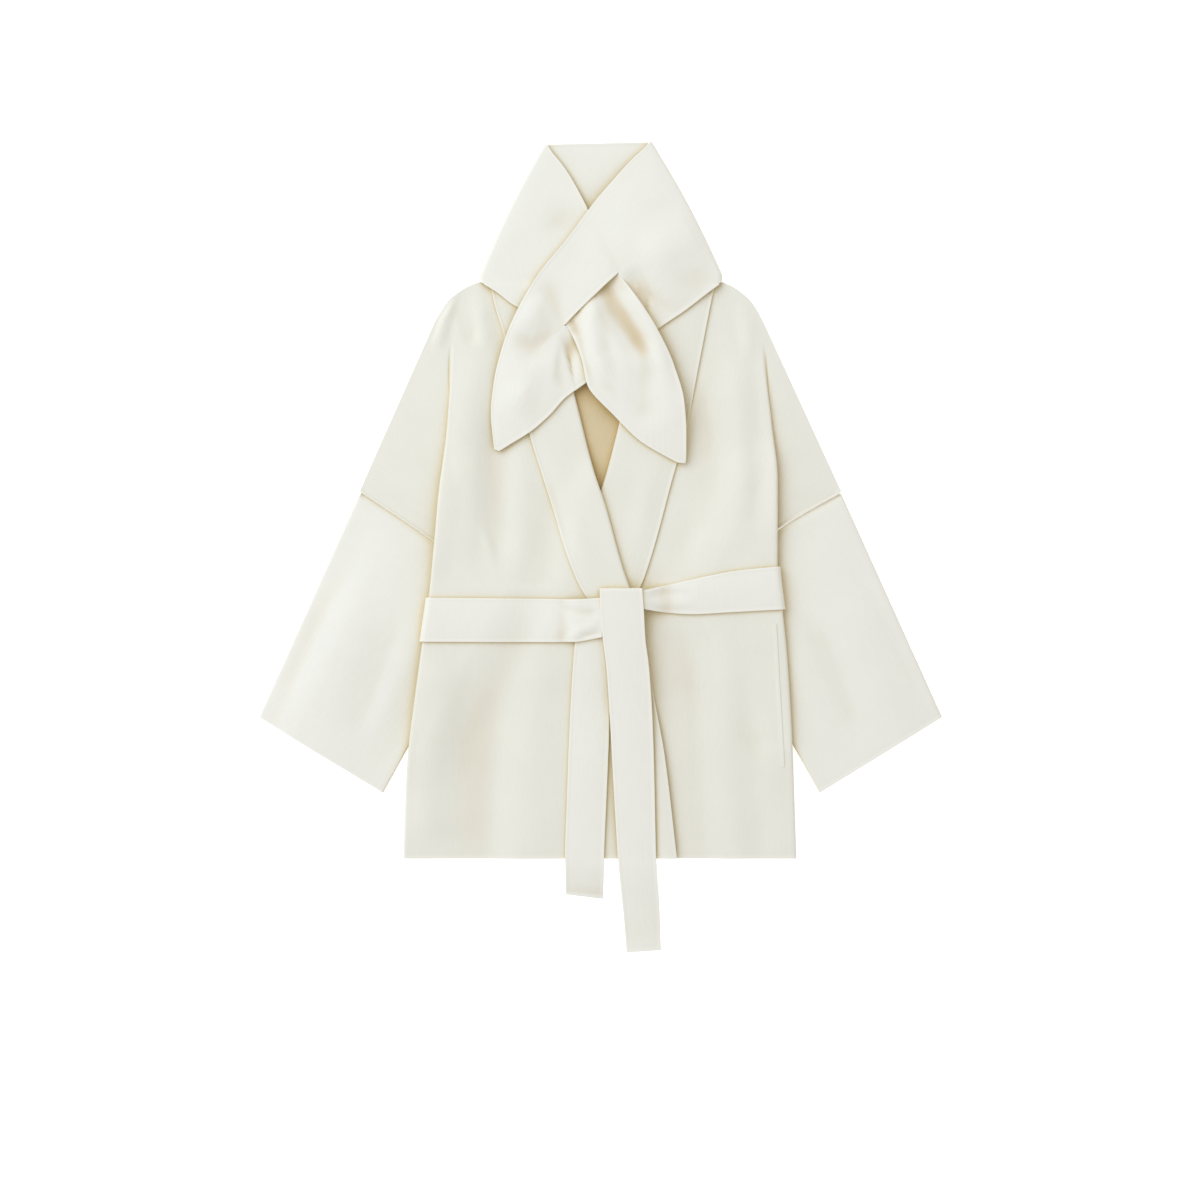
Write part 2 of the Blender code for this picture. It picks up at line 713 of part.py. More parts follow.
def make_scarf_right(material):
    """From the right neck fold to the free end, with a lengthwise slit whose upper lip stands up."""
    half = SCARF_STEPS
    bm = bmesh.new()
    upper_rows = []
    lower_rows = []
    for row in fold_rows(SCARF_RIGHT[0], 2 * half):
        verts = [bm.verts.new(Vector(p) * MM) for p in row]
        upper_rows.append(verts[: half + 1])
        lower_rows.append(verts[half:])
    count = (len(SCARF_RIGHT) - 1) * SECTION_SPLIT
    for k in range(1, count + 1):
        u = k / SECTION_SPLIT
        row = section_row(blend(SCARF_RIGHT, u), 2 * half)
        mouth = 0.0
        if SLIT_FROM < u < SLIT_TO:
            mouth = math.sin(math.pi * (u - SLIT_FROM) / (SLIT_TO - SLIT_FROM)) ** 0.5
        upper = []
        lower = []
        lean = Vector((row[0][0] - row[-1][0], row[0][1] - row[-1][1])).normalized() * SLIT_GAP
        for v, (x, y, z) in enumerate(row):
            share = 1 - abs(v - half) / half
            lip = lean * (mouth if v == half else 0.0)
            if v <= half:
                upper.append((x + lip.x, y + lip.y, z + UPPER_LIP * mouth * soft(share)))
            if v >= half:
                lower.append((x - lip.x, y - lip.y, z - LOWER_LIP * mouth * soft(share)))
        above = [bm.verts.new(Vector(p) * MM) for p in upper]
        if mouth:
            below = [bm.verts.new(Vector(p) * MM) for p in lower]
        else:
            below = [above[-1]] + [bm.verts.new(Vector(p) * MM) for p in lower[1:]]
        upper_rows.append(above)
        lower_rows.append(below)
    for rows in (upper_rows, lower_rows):
        for first, second in zip(rows, rows[1:]):
            for k in range(half):
                bm.faces.new((first[k], second[k], second[k + 1], first[k + 1]))
    return thicken("scarf_right", bm, CLOTH, material)


def belt_over(side, out):
    """The belt's extra rise near the knot, over the lapel and the short end."""
    rise = KNOT_RISE[side]
    return rise.height * soft((rise.reach - out) / rise.fade)


def make_belt_side(name, side, material):
    """The belt from the knot across a front and round its side fold: the front's points, moved out."""
    lift = CLOTH / 2 + LAY + BELT_CLOTH / 2
    first = BELT[side][0].x
    rows = []
    for share in np.linspace(0, 1, BELT_ROWS):
        middle = mix(BELT[side][-1].top, BELT[side][-1].bottom, share)
        fold = across(SIDE_FOLD[side], middle)
        bend_at = fold - FOLD_RADIUS - CLOTH / 2
        row = []
        for k in range(BELT_STEPS + 1):
            out = mix(first, bend_at, k / BELT_STEPS)
            top, bottom = belt_edges(side, out)
            y = mix(top, bottom, float(share))
            row.append((out, y, rest_height(side, out, y) + lift + belt_over(side, out)))
        out, y, z = row[-1]
        radius = FOLD_RADIUS + lift
        for k in range(1, BELT_TURN_STEPS + 1):
            angle = math.pi / 2 - math.pi * k / BELT_TURN_STEPS
            row.append((out + radius * math.cos(angle), y, z - radius + radius * math.sin(angle)))
        out, y, z = row[-1]
        row.append((out - BELT_RETURN / 2, y, z))
        row.append((out - BELT_RETURN, y, z - BELT_SETTLE))
        rows.append([(side * out, y, z) for out, y, z in row])
    return cloth_wall(name, rows, BELT_CLOTH, material)


def make_belt_back(material):
    """The belt's plain strip under the back."""
    rows = []
    for share in (-1, 0, 1):
        row = []
        for k in range(BELT_BACK_STEPS + 1):
            x = mix(BELT_BACK_FROM, BELT_BACK_TO, k / BELT_BACK_STEPS)
            row.append((x, back_belt_middle(x) - share * BELT_HALF, BELT_CLOTH / 2))
        rows.append(row)
    return cloth_wall("belt_back", rows, BELT_CLOTH, material)


def tail_height(x, y, lift):
    """A free belt end lies on the left front, then runs down over the hem to the floor."""
    rest = rest_height(LEFT, -x, max(y, HEM_Y)) + CLOTH / 2 + LAY + BELT_CLOTH / 2 + lift
    return mix(rest, BELT_CLOTH / 2, soft((HEM_Y - DROP_FROM - y) / DROP_TO_FLOOR))


def make_tail(name, table, material, knotted):
    """A free belt end; the knotted one turns over at its top and runs back under itself."""
    rows = []
    for first, second in zip(table, table[1:]):
        for half in (0.0, 0.5):
            rows.append(Tail(*(mix(a, b, half) for a, b in zip(first, second))))
    rows.append(table[-1])
    grid = []
    for tail in rows:
        row = []
        for k in range(TAIL_STEPS + 1):
            x = mix(tail.left, tail.right, k / TAIL_STEPS)
            y = tail.y + tail.slant * (0.5 - k / TAIL_STEPS)
            row.append((x, y, tail_height(x, y, tail.lift)))
        grid.append(row)
    if knotted:
        roll = []
        for k in range(KNOT_STEPS, 0, -1):
            angle = math.pi / 2 + math.pi * k / KNOT_STEPS
            ahead = -KNOT_RADIUS * math.cos(angle)
            fall = KNOT_RADIUS * (1 - math.sin(angle))
            roll.append([(x, y + ahead, z - fall) for x, y, z in grid[0]])
        grid = roll + grid
    return cloth_wall(name, grid, BELT_CLOTH, material)


def make_pocket(material):
    """The narrow sewn edge beside the pocket slit, on the right front's points moved out."""
    lift = CLOTH / 2 + POCKET_LAY + POCKET_CLOTH / 2
    rows = []
    for t in np.linspace(0, 1, POCKET_ROWS):
        y = mix(POCKET_FROM[0], POCKET_TO[0], float(t))
        middle = mix(POCKET_FROM[1], POCKET_TO[1], float(t))
        row = []
        for share in (-0.5, 0.0, 0.5):
            out = middle + share * POCKET_WIDTH
            row.append((out, y, rest_height(RIGHT, out, y) + lift))
        rows.append(row)
    return cloth_wall("pocket_welt_right", rows, POCKET_CLOTH, material)


def build():
    for thing in list(bpy.data.objects):
        bpy.data.objects.remove(thing)
    coat = cloth_material("cream double-faced wool", (0.83, 0.81, 0.74))
    scarf = cloth_material("cream scarf wool", (0.83, 0.81, 0.73))
    belt = cloth_material("cream belt wool", (0.84, 0.82, 0.75))
    make_back(coat)
    make_front("front_right", RIGHT, coat)
    make_front("front_left", LEFT, coat)
    make_sleeve("sleeve_left", LEFT, coat)
    make_sleeve("sleeve_right", RIGHT, coat)
    make_lapel("lapel_right", RIGHT, coat)
    make_lapel("lapel_left", LEFT, coat)
    make_scarf_back(scarf)
    make_scarf_left(scarf)
    make_scarf_right(scarf)
    make_belt_back(belt)
    make_belt_side("belt_left", LEFT, belt)
    make_belt_side("belt_right", RIGHT, belt)
    make_tail("belt_tail_short", SHORT_TAIL, belt, knotted=False)
    make_tail("belt_tail_long", LONG_TAIL, belt, knotted=True)
    make_pocket(coat)


build()
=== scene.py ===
"""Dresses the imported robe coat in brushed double-faced wool, laid flat with its front up.

Sizes in the tables are millimetres in the coat's own frame: X to the right as seen from above, Y towards
the collar, Z up from the floor. Each piece is a fine grid of points on the middle of its cloth, thickened
to both sides, and replaces the solid of the same name.
"""

import math
from bisect import bisect_right
from collections import namedtuple

import bmesh
import bpy
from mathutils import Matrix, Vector, noise


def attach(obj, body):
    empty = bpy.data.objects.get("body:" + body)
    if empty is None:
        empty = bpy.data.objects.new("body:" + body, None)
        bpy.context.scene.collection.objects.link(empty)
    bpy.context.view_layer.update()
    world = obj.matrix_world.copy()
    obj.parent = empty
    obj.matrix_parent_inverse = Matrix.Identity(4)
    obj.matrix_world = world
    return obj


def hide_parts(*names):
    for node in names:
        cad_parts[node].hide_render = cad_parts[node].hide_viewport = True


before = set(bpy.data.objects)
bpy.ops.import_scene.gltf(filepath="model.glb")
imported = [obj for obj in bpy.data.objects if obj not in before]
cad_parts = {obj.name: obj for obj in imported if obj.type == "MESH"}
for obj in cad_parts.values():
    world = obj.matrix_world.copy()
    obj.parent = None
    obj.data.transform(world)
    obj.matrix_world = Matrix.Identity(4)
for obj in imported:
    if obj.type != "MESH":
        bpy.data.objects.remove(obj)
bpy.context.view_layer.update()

bl_info = {
    "name": "Robe coat",
    "version": (1, 0, 0),
    "blender": (4, 5, 0),
    "location": "View3D > Sidebar > Robe coat",
    "description": "Wool pieces, stage and camera of a robe coat laid flat",
    "category": "Object",
}

MM = 0.001
LEFT = -1
RIGHT = 1
FAR = 1000.0

CLOTH = 2.6
BELT_CLOTH = 3.0
POCKET_CLOTH = 1.4
SEAM = 0.3
LAY = 0.8
SLEEVE_ROOM = 1.0
BACK_MID = CLOTH / 2
FRONT_MID = BACK_MID + CLOTH + SLEEVE_ROOM

HEM_Y = -405.0
NECK_Y = 339.0
UNDERARM_Y = -40.0

# The fold at each side starts flat on the shoulder and is full at the underarm. A name that ends in
# SLOPE, RUN or FADE is the width over which a change eases in.
FOLD_RADIUS = 2.5
FLAT_RADIUS = 1.5
RADIUS_FROM = 260.0
RADIUS_RUN = 220.0
PLEAT_START = 300.0
PLEAT_FULL = 110.0
PLEAT_DEEPENS = 130.0
PLEAT_DEPTH = 78.0
PLEAT_LEAST = 2.0
FORMED_TURN = 0.8
FULL_TURN = 3.1
CREST = FRONT_MID + 4 * FOLD_RADIUS
SIDE_RAMP = 80.0
SIDE_SHARE = 0.85
SIDE_LAP = 8.0
RETURN_STEPS = 6
KNEE_LAP = 1.0
KNEE_LEAST = 1.5
KNEE_FALL = 1.2
LEAST_BEND = 2.8
LEAST_TURN = 0.3
RAISED_RUN = 0.6
FOLD_CLEAR = 0.4
FOLD_BESIDE = 30.0
FOLD_SLOPE = 26.0
TROUGH_LIMIT = 0.8

# The left front's rise over the right one, and the shoulder parts.
OVERLAP_WIDTH = 68.0
OVERLAP_SLOPE = 60.0
RIDGE_FADE = 70.0
SEAM_LAP = 1.0
SEAM_RIDGE = 1.4
SEAM_RIDGE_WIDTH = 5.5
SEAM_RIDGE_SLOPE = 3.5
SEAM_RIDGE_START = 6.0
EASE = 22.0
CREASE_END = 12.0
LIE_END = 20.0
CARRY = 45.0
SHOULDER_RISE = 6.0
RISE_FROM = 300.0
RISE_OUT = 173.0
RISE_FULL = 159.0
BACK_INSET = 2.0
BACK_UNDER = 3.0
BACK_SEAM_X = -4.5
BACK_SEAM_HALF = 4.0
BACK_SEAM_RISE = 0.6

# The lapels, rolled round the fronts' edges.
LAPEL_RISE = 4.2
LAPEL_END = -96.0
LAPEL_TURN = 8.0
LAPEL_ROLL_OUT = 1.0
LAPEL_CLEAR = 0.4
LAPEL_OPENS = 0.35
LAPEL_BESIDE = 16.0
LAPEL_SLOPE = 12.0

# The belt, the rise of the cloth over it, and its free ends.
BELT_HALF = 28.0
BELT_RISE = 3.2
BELT_RISE_FLAT = 8.0
BELT_RISE_SLOPE = 90.0
BELT_RETURN = 30.0
BELT_SPAN = 300.0
BELT_BEHIND = 158.0
BELT_BACK_FROM = -136.0
BELT_BACK_TO = 128.0
BELT_MIDDLE = {LEFT: -94.0, RIGHT: -54.0}
BELT_CROWN = 1.2
BELT_TROUGH_LIMIT = 1.6
TAIL_CROWN = 1.0
TAIL_ROLL = 2.2
DROP_START = 5.0

Point = namedtuple("Point", "y x")
Level = namedtuple("Level", "y z")
Band = namedtuple("Band", "x top bottom")
Sleeve = namedtuple("Sleeve", "seam_out underarm cuff_out cuff_in seam_bow")
Ridge = namedtuple("Ridge", "side out_top out_bottom y_top y_bottom width height")
Section = namedtuple("Section", "x1 y1 z1 x2 y2 z2 bow")
Tail = namedtuple("Tail", "y left right slant")
Crease = namedtuple("Crease", "path width height fade")
Profile = namedtuple("Profile", "start rise end fall")
Knot = namedtuple("Knot", "rise out run")
Gaps = namedtuple("Gaps", "start end top bottom")

ROLL_LINE = (
    Point(350, 75), Point(192, 33), Point(96, 8.5), Point(57, -4.5), Point(-30, -29), Point(-53, -37),
    Point(-110, -54), Point(-153, -63), Point(-199, -70), Point(-268, -82.5), Point(-405, -99),
)
LAPEL_EDGE = {
    LEFT: (
        Point(348, 143), Point(331, 141), Point(273, 125), Point(152, 94), Point(57, 64), Point(-30, 36),
        Point(-65, 18), Point(-96, -20),
    ),
    RIGHT: (
        Point(348, 150), Point(330, 146), Point(233, 127), Point(156, 112), Point(91, 94), Point(-30, 60),
        Point(-55, 50), Point(-96, 10),
    ),
}
SIDE_FOLD = {
    LEFT: (
        Point(348, 112), Point(334, 140), Point(318, 160), Point(300, 176), Point(285, 184),
        Point(270, 189), Point(143, 201), Point(72, 210), Point(6, 216), Point(-55, 222),
        Point(-146, 234.6), Point(-303, 253), Point(-405, 257),
    ),
    RIGHT: (
        Point(348, 112), Point(334, 140), Point(318, 162), Point(300, 184), Point(285, 198),
        Point(270, 207), Point(223, 215), Point(158, 223), Point(86, 230), Point(-19, 230),
        Point(-87, 237), Point(-146, 243), Point(-303, 251.5), Point(-405, 255),
    ),
}
SHOULDER = {
    LEFT: (Point(348, 155), Point(334, 181), Point(321, 197), Point(308, 206), Point(295, 214)),
    RIGHT: (Point(348, 155), Point(334, 179), Point(321, 194), Point(308, 203), Point(295, 210)),
}
SLEEVES = {
    LEFT: Sleeve((313, 72), (136, -53), (445, -221), (283, -320), 3.0),
    RIGHT: Sleeve((313, 71), (136, -53), (445, -221), (285, -320), 9.0),
}
SLEEVE_PUFF = {LEFT: 7.0, RIGHT: 2.5}
SLEEVE_PUFF_RUN = 0.35
SLEEVE_HUMP = Profile(0.0, 0.65, 1.0, 0.3)
SLEEVE_BOW = 0.85
SLEEVE_DIP = 1.6
SLEEVE_DIP_RUN = 0.03
SLEEVE_LIE_RUN = 0.1
SLEEVE_SEAM_WAY = (0.4, -0.9, 0)
BELT = {
    LEFT: (Band(-2, -66, -117), Band(34, -68, -123), Band(66, -67.5, -123.5), Band(230, -66, -123)),
    RIGHT: (
        Band(54, -57, -80), Band(86, -50, -85), Band(120, -42.5, -87), Band(170, -32, -84.5),
        Band(235, -25, -81),
    ),
}
RIDGES = (
    Ridge(LEFT, 118, 104, 230, -60, 70, 2.5),
    Ridge(LEFT, 88, 96, -135, -405, 110, 2.8),
    Ridge(LEFT, -62, -92, -150, -405, 56, 3.0),
    Ridge(RIGHT, 176, 186, 280, 30, 60, 3.0),
    Ridge(RIGHT, 150, 176, -110, -405, 80, 5.0),
)
OVERLAP_LIFT = (Level(140, 0), Level(74, 7.4), Level(-104, 7.4), Level(-200, 4.0), Level(HEM_Y, 3.6))
SIDE_CREST = (Level(UNDERARM_Y, CREST), Level(-262, CREST), Level(-320, 9.8), Level(HEM_Y, 9.4))
SCARF_LEFT = (
    Section(-73, 525, 6.5, -161, 347, 12.2, 0),
    Section(-46, 492, 6.5, -136, 332, 12.2, 0.5),
    Section(-18, 442, 8.2, -110, 313, 12.2, 1.0),
    Section(2, 396, 11.0, -76, 301, 11.6, 0.5),
    Section(20, 360, 16.0, -50, 294, 12.4, 0),
    Section(38, 336, 19.0, -38, 277, 15.5, 1.5),
    Section(72, 284, 21.0, -24, 243, 16.8, 3.0),
    Section(95, 235, 22.0, -17, 211, 16.2, 3.5),
    Section(108, 190, 22.0, 18, 171, 15.0, 3.0),
    Section(111, 150, 18.5, 52, 138, 13.6, 1.5),
    Section(111, 118, 14.5, 84, 119, 12.8, 0.5),
    Section(110, 109, 12.6, 101, 110, 12.6, 0),
)
SCARF_RIGHT = (
    Section(67, 528, 7.5, 162, 347, 12.6, 0),
    Section(40, 503, 9.0, 139, 330, 12.6, 4.0),
    Section(16, 476, 11.0, 109, 307, 12.4, 8.0),
    Section(-7, 449, 12.6, 78, 286, 12.2, 6.0),
    Section(-42, 402, 15.6, 25, 247, 12.2, 1.0),
    Section(-82, 352, 17.6, -24, 210, 12.2, 0),
    Section(-106, 310, 17.6, -46, 194, 12.2, 3.5),
    Section(-123, 272, 14.6, -66, 172, 12.2, 4.0),
    Section(-138, 215, 12.4, -90, 151, 12.2, 4.0),
    Section(-142, 175, 11.4, -114, 136, 11.6, 1.0),
    Section(-138, 127, 10.4, -132, 125, 10.4, 0),
)
# The neck roll and the slit; places along a scarf half count its sections from the neck.
NECK_BULGE = 4.0
BULGE_RUN = 0.9
CORNER_ROUND = 4.0
CORNER_FROM = 0.94
ROLL_CLEAR = 0.32
SCARF_LEFT_ROWS = 110
SCARF_RIGHT_ROWS = 120
SEAT_INSIDE = 10.0
SEAT_SLOPE = 8.0
SEAT_TOP = 348.0
SLIT_FROM = 3.32
SLIT_TO = 4.8
SLIT_ROUND = 0.7
SLIT_GAP = 1.6
SLIT_OPEN = 0.15
UPPER_LIP = 4.2
UPPER_LIP_WIDTH = 0.06
LOWER_LIP = 10.0
LOWER_LIP_START = 0.18
LOWER_LIP_END = 0.25
LIP_SAG = 13.0
LIP_SAG_WIDTH = 0.4
LONG_TAIL = (
    Tail(-57, -1, 54, 0), Tail(-85, 0, 56, 0), Tail(-120, 3, 58, 0), Tail(-150, 7, 62, 0),
    Tail(-218, 12, 67, 0), Tail(-290, 16, 69.5, 0), Tail(-360, 20, 71, 0), Tail(-400, 22.5, 72, 0),
    Tail(-420, 24, 73, 0), Tail(-445, 26.5, 75, 0), Tail(-480, 30, 77, 0), Tail(-526.5, 34, 78.5, -3),
)
SHORT_TAIL = (
    Tail(-104, -31, 2, 0), Tail(-124, -33, 4, 0), Tail(-160, -36, 8, 0), Tail(-220, -39.5, 11.5, 0),
    Tail(-281, -42, 9.5, 0), Tail(-340, -44, 7, 0), Tail(-400, -46, 4.5, 0), Tail(-428, -45.5, 4, 0),
    Tail(-455, -45, 3, 6),
)
KNOT = {LEFT: Knot(LAPEL_RISE + 0.6, 52, 24), RIGHT: Knot(10.5, 92, 40)}
SHORT_DROP = 56.0
LONG_DROP = 105.0
LONG_TAIL_CREST = (
    Level(-57, 27.0), Level(-85, 26.5), Level(-120, 24.5), Level(-180, 20.5), Level(-250, 17.0),
    Level(-330, 15.0), Level(HEM_Y, 13.0),
)
POCKET_FROM = (-100.0, 224.0)
POCKET_TO = (-286.0, 235.0)
POCKET_WIDTH = 9.0
POCKET_ACROSS = (-0.5, -0.35, -0.2, 0.0, 0.2, 0.35, 0.5)

# A sewn edge: a ridge, a groove beside it and a painted highlight line along it, as gaps from the edge.
EDGE_RIDGE = Profile(-0.6, 1.4, 3.6, 1.6)
EDGE_GROOVE = Profile(2.8, 1.4, 7.0, 2.6)
GROOVE_SHARE = 0.5
EDGE_HIGHLIGHT = 0.3
EDGE_HIGHLIGHT_WIDTH = 3.0
EDGE_HIGHLIGHT_FADE = 1.8
RIM_SHARE = 0.44
RIM_ANGLE = 55.0
CLOUD_SIZE = 0.055

# The stage, in metres.
FLOOR_HALF = 6.0
KEY_SIZE = 5.0
KEY_PLACE = (-2.8, 2.1, 3.6)
KEY_AIM = (0, -0.05, 0)

# The body's wool is a slightly darker, warmer copy of the sleeves' wool: painted shade.
BODY_PAINTED_SHADE = (0.966, 0.961, 0.945)

# Soft ridges and troughs that the cloth takes as it lies, along paths of (x, y) points.
FRONT_CREASES = {
    LEFT: (
        Crease(((-152, 285), (-168, 190), (-180, 90), (-194, -55)), 44, 4.0, 80),
        Crease(((-118, 215), (-132, 110), (-138, -58)), 36, -3.4, 70),
        Crease(((-92, 130), (-92, 0), (-90, -62)), 36, 1.8, 60),
        Crease(((-208, -128), (-222, -260), (-230, -404)), 46, 4.4, 50),
        Crease(((-206, 120), (-220, 0), (-230, -60)), 34, 4.0, 60),
        Crease(((-166, -112), (-162, -240), (-152, -440)), 44, -1.2, 70),
    ),
    RIGHT: (
        Crease(((118, 222), (126, 160), (142, 96)), 26, -4.0, 50),
        Crease(((160, 262), (168, 170), (178, 90), (184, -20)), 46, 4.2, 80),
        Crease(((226, 170), (231, 60), (232, -20)), 34, 5.5, 70),
        Crease(((118, 60), (110, 10), (100, -40)), 30, -1.6, 50),
        Crease(((190, -180), (198, -235), (208, -295)), 26, -1.5, 46),
        Crease(((90, -95), (98, -200), (114, -460)), 40, -2.6, 50),
    ),
}
SHOULDER_CREASES = {
    LEFT: (
        Crease(((-190, 334), (-202, 302), (-215, 250)), 14, 3.0, 30),
        Crease(((-187, 340), (-180, 315), (-170, 285), (-165, 258)), 14, -3.0, 24),
        Crease(((-158, 338), (-155, 300), (-148, 245)), 22, 2.6, 36),
    ),
    RIGHT: (Crease(((182, 326), (190, 290), (196, 236)), 17, 2.0, 34),),
}
LAPEL_CREASES = {
    LEFT: (Crease(((-70, 150), (-40, 40), (-8, -60)), 26, 1.3, 60),),
    RIGHT: (Crease(((70, 120), (52, 30), (44, -30)), 22, 1.2, 50),),
}
SCARF_RIGHT_CREASES = (
    Crease(((150, 396), (96, 388), (44, 386)), 60, 6.0, 50),
    Crease(((30, 362), (58, 324), (84, 284)), 28, -5.5, 26),
    Crease(((146, 364), (94, 362), (46, 372)), 36, -2.0, 50),
    Crease(((-116, 318), (-80, 300), (-54, 292)), 40, 5.0, 40),
    Crease(((-116, 276), (-84, 260), (-52, 250)), 38, -5.5, 36),
    Crease(((-38, 284), (-43, 245), (-48, 200)), 18, -5.0, 26),
    Crease(((-124, 214), (-98, 196), (-76, 188)), 34, 3.4, 30),
)
SCARF_LEFT_CREASES = (
    Crease(((-68, 462), (-51, 426), (-38, 384)), 42, -2.6, 50),
    Crease(((-122, 430), (-108, 380)), 40, 2.2, 50),
    Crease(((-18, 336), (-13, 305), (-6, 250), (16, 205)), 20, 5.0, 40),
    Crease(((16, 372), (11, 336), (21, 308), (33, 288), (53, 259), (66, 232)), 29, -7.0, 44),
    Crease(((58, 250), (56, 195), (72, 148)), 32, -3.4, 34),
    Crease(((36, 338), (67, 282), (91, 215)), 14, 3.0, 30),
    Crease(((-40, 300), (-35, 287), (-30, 270)), 9, -2.6, 12),
)
SLEEVE_CREASES = {
    LEFT: (
        Crease(((-300, -40), (-350, -160), (-392, -238)), 60, 2.2, 70),
        Crease(((-262, -60), (-300, -180), (-330, -270)), 40, -1.4, 70),
        Crease(((-222, -60), (-262, -170), (-300, -282)), 40, 1.4, 60),
    ),
    RIGHT: (
        Crease(((300, -40), (350, -160), (392, -238)), 60, 2.2, 70),
        Crease(((272, -70), (308, -180), (338, -266)), 40, -1.4, 70),
        Crease(((228, -80), (262, -180), (300, -282)), 40, 1.4, 60),
    ),
}
BELT_CREASES = (
    Crease(((-52, -78), (-26, -84), (2, -88)), 9, -1.8, 16),
    Crease(((-44, -120), (-22, -108), (0, -100)), 10, 2.0, 14),
    Crease(((-30, -116), (-12, -112), (2, -110)), 6, -1.6, 10),
    Crease(((54, -66), (84, -60), (120, -58)), 8, -1.4, 20),
    Crease(((56, -74), (90, -74), (130, -72)), 9, 1.2, 24),
)


def soft(t):
    """An even rise from 0 to 1 that starts and ends level."""
    t = min(max(t, 0.0), 1.0)
    return t * t * (3 - 2 * t)


def mix(a, b, t):
    return a + (b - a) * t


def higher(a, b, ease):
    """The higher of two heights, with an eased corner between them."""
    return 0.5 * (a + b + math.sqrt((a - b) ** 2 + ease * ease))


def smooth_curve(stops, values):
    """A smooth curve through values at rising stops that stays between them."""
    stops = [float(s) for s in stops]
    values = [float(v) for v in values]
    gaps = [b - a for a, b in zip(stops, stops[1:])]
    rates = [(b - a) / g for a, b, g in zip(values, values[1:], gaps)]
    slopes = [rates[0]]
    for k in range(1, len(rates)):
        before, after = rates[k - 1], rates[k]
        if before * after <= 0:
            slopes.append(0.0)
            continue
        w_before = 2 * gaps[k] + gaps[k - 1]
        w_after = gaps[k] + 2 * gaps[k - 1]
        slopes.append((w_before + w_after) / (w_before / before + w_after / after))
    slopes.append(rates[-1])

    def at(t):
        t = min(max(t, stops[0]), stops[-1])
        k = min(max(bisect_right(stops, t) - 1, 0), len(gaps) - 1)
        s = (t - stops[k]) / gaps[k]
        rise = s * s * (3 - 2 * s)
        value = mix(values[k], values[k + 1], rise)
        value += gaps[k] * slopes[k] * s * (1 - s) ** 2
        return value - gaps[k] * slopes[k + 1] * s * s * (1 - s)

    return at


def down(points):
    """The curve of a table whose heights run down the coat, as a function of y."""
    curve = smooth_curve([-p[0] for p in points], [p[1] for p in points])
    return lambda y: curve(-y)


def belt_edge(bands, edge):
    """The curve of one edge of the belt over a front, as a function of the distance out."""
    return smooth_curve([band.x for band in bands], [getattr(band, edge) for band in bands])


roll_line = down(ROLL_LINE)
overlap_level = down(OVERLAP_LIFT)
crest_level = down(SIDE_CREST)
long_tail_crest = down(LONG_TAIL_CREST)
lapel_edge = {side: down(LAPEL_EDGE[side]) for side in (LEFT, RIGHT)}
side_fold = {side: down(SIDE_FOLD[side]) for side in (LEFT, RIGHT)}
shoulder_line = {side: down(SHOULDER[side]) for side in (LEFT, RIGHT)}
belt_top = {side: belt_edge(BELT[side], "top") for side in (LEFT, RIGHT)}
belt_bottom = {side: belt_edge(BELT[side], "bottom") for side in (LEFT, RIGHT)}


def creases(table, x, y):
    """The height that the creases of a table add at a point."""
    height = 0.0
    for crease in table:
        nearest = FAR
        along = 0.0
        run = 0.0
        for (ax, ay), (bx, by) in zip(crease.path, crease.path[1:]):
            dx, dy = bx - ax, by - ay
            length = math.hypot(dx, dy)
            t = ((x - ax) * dx + (y - ay) * dy) / (length * length)
            t = min(max(t, 0.0), 1.0)
            gap = math.hypot(x - ax - t * dx, y - ay - t * dy)
            if gap < nearest:
                nearest = gap
                along = run + t * length
            run += length
        if nearest < crease.width:
            ends = soft(along / crease.fade) * soft((run - along) / crease.fade)
            height += crease.height * soft(1 - nearest / crease.width) * ends
    return height


def unevenness(x, y, seed, size=90.0, height=0.7):
    """The slight lie of the cloth between its creases."""
    return height * noise.noise(Vector((x / size, y / (1.6 * size), seed)))


def under_belt(side, y):
    """The share of the belt's rise at a side fold: all of it under the belt, less beside it."""
    away = abs(y - BELT_MIDDLE[side]) - BELT_HALF
    return 1 - soft((away - BELT_RISE_FLAT) / BELT_RISE_SLOPE)


def seam_point(sleeve, t):
    start = Vector(sleeve.seam_out)
    end = Vector(sleeve.underarm)
    run = (end - start).normalized()
    return start.lerp(end, t) + Vector((run.y, -run.x)) * (sleeve.seam_bow * math.sin(math.pi * t))


def seam_curve(sleeve):
    points = [seam_point(sleeve, k / 20) for k in range(21)]
    return smooth_curve([-p.y for p in points], [p.x for p in points])


seam_line = {side: seam_curve(SLEEVES[side]) for side in (LEFT, RIGHT)}


def outer_line(side, y):
    """Where the shoulder part ends: the shoulder, the sleeve's fold, then the dropped armhole seam."""
    sleeve = SLEEVES[side]
    last = SHOULDER[side][-1]
    if y >= last.y:
        return shoulder_line[side](y)
    if y >= sleeve.seam_out[1]:
        return mix(last.x, sleeve.seam_out[0], (last.y - y) / (last.y - sleeve.seam_out[1]))
    return seam_line[side](-y)


def sleeve_inner(side, y):
    sleeve = SLEEVES[side]
    t = (sleeve.underarm[1] - y) / (sleeve.underarm[1] - sleeve.cuff_in[1])
    return mix(sleeve.underarm[0], sleeve.cuff_in[0], max(t, 0.0))


def back_edge(side, y):
    if y >= SLEEVES[side].underarm[1]:
        return outer_line(side, y) - SEAM
    return min(sleeve_inner(side, y) - BACK_INSET, side_fold[side](y) - BACK_UNDER)


def fold_radius(y):
    """The side fold's radius: it starts flat at the shoulder and opens towards the underarm."""
    return mix(FLAT_RADIUS, FOLD_RADIUS, soft((RADIUS_FROM - y) / RADIUS_RUN))


def pleat_turn(y):
    """The angle that the side fold turns through."""
    return math.pi * soft((PLEAT_START - y) / (PLEAT_START - PLEAT_FULL))


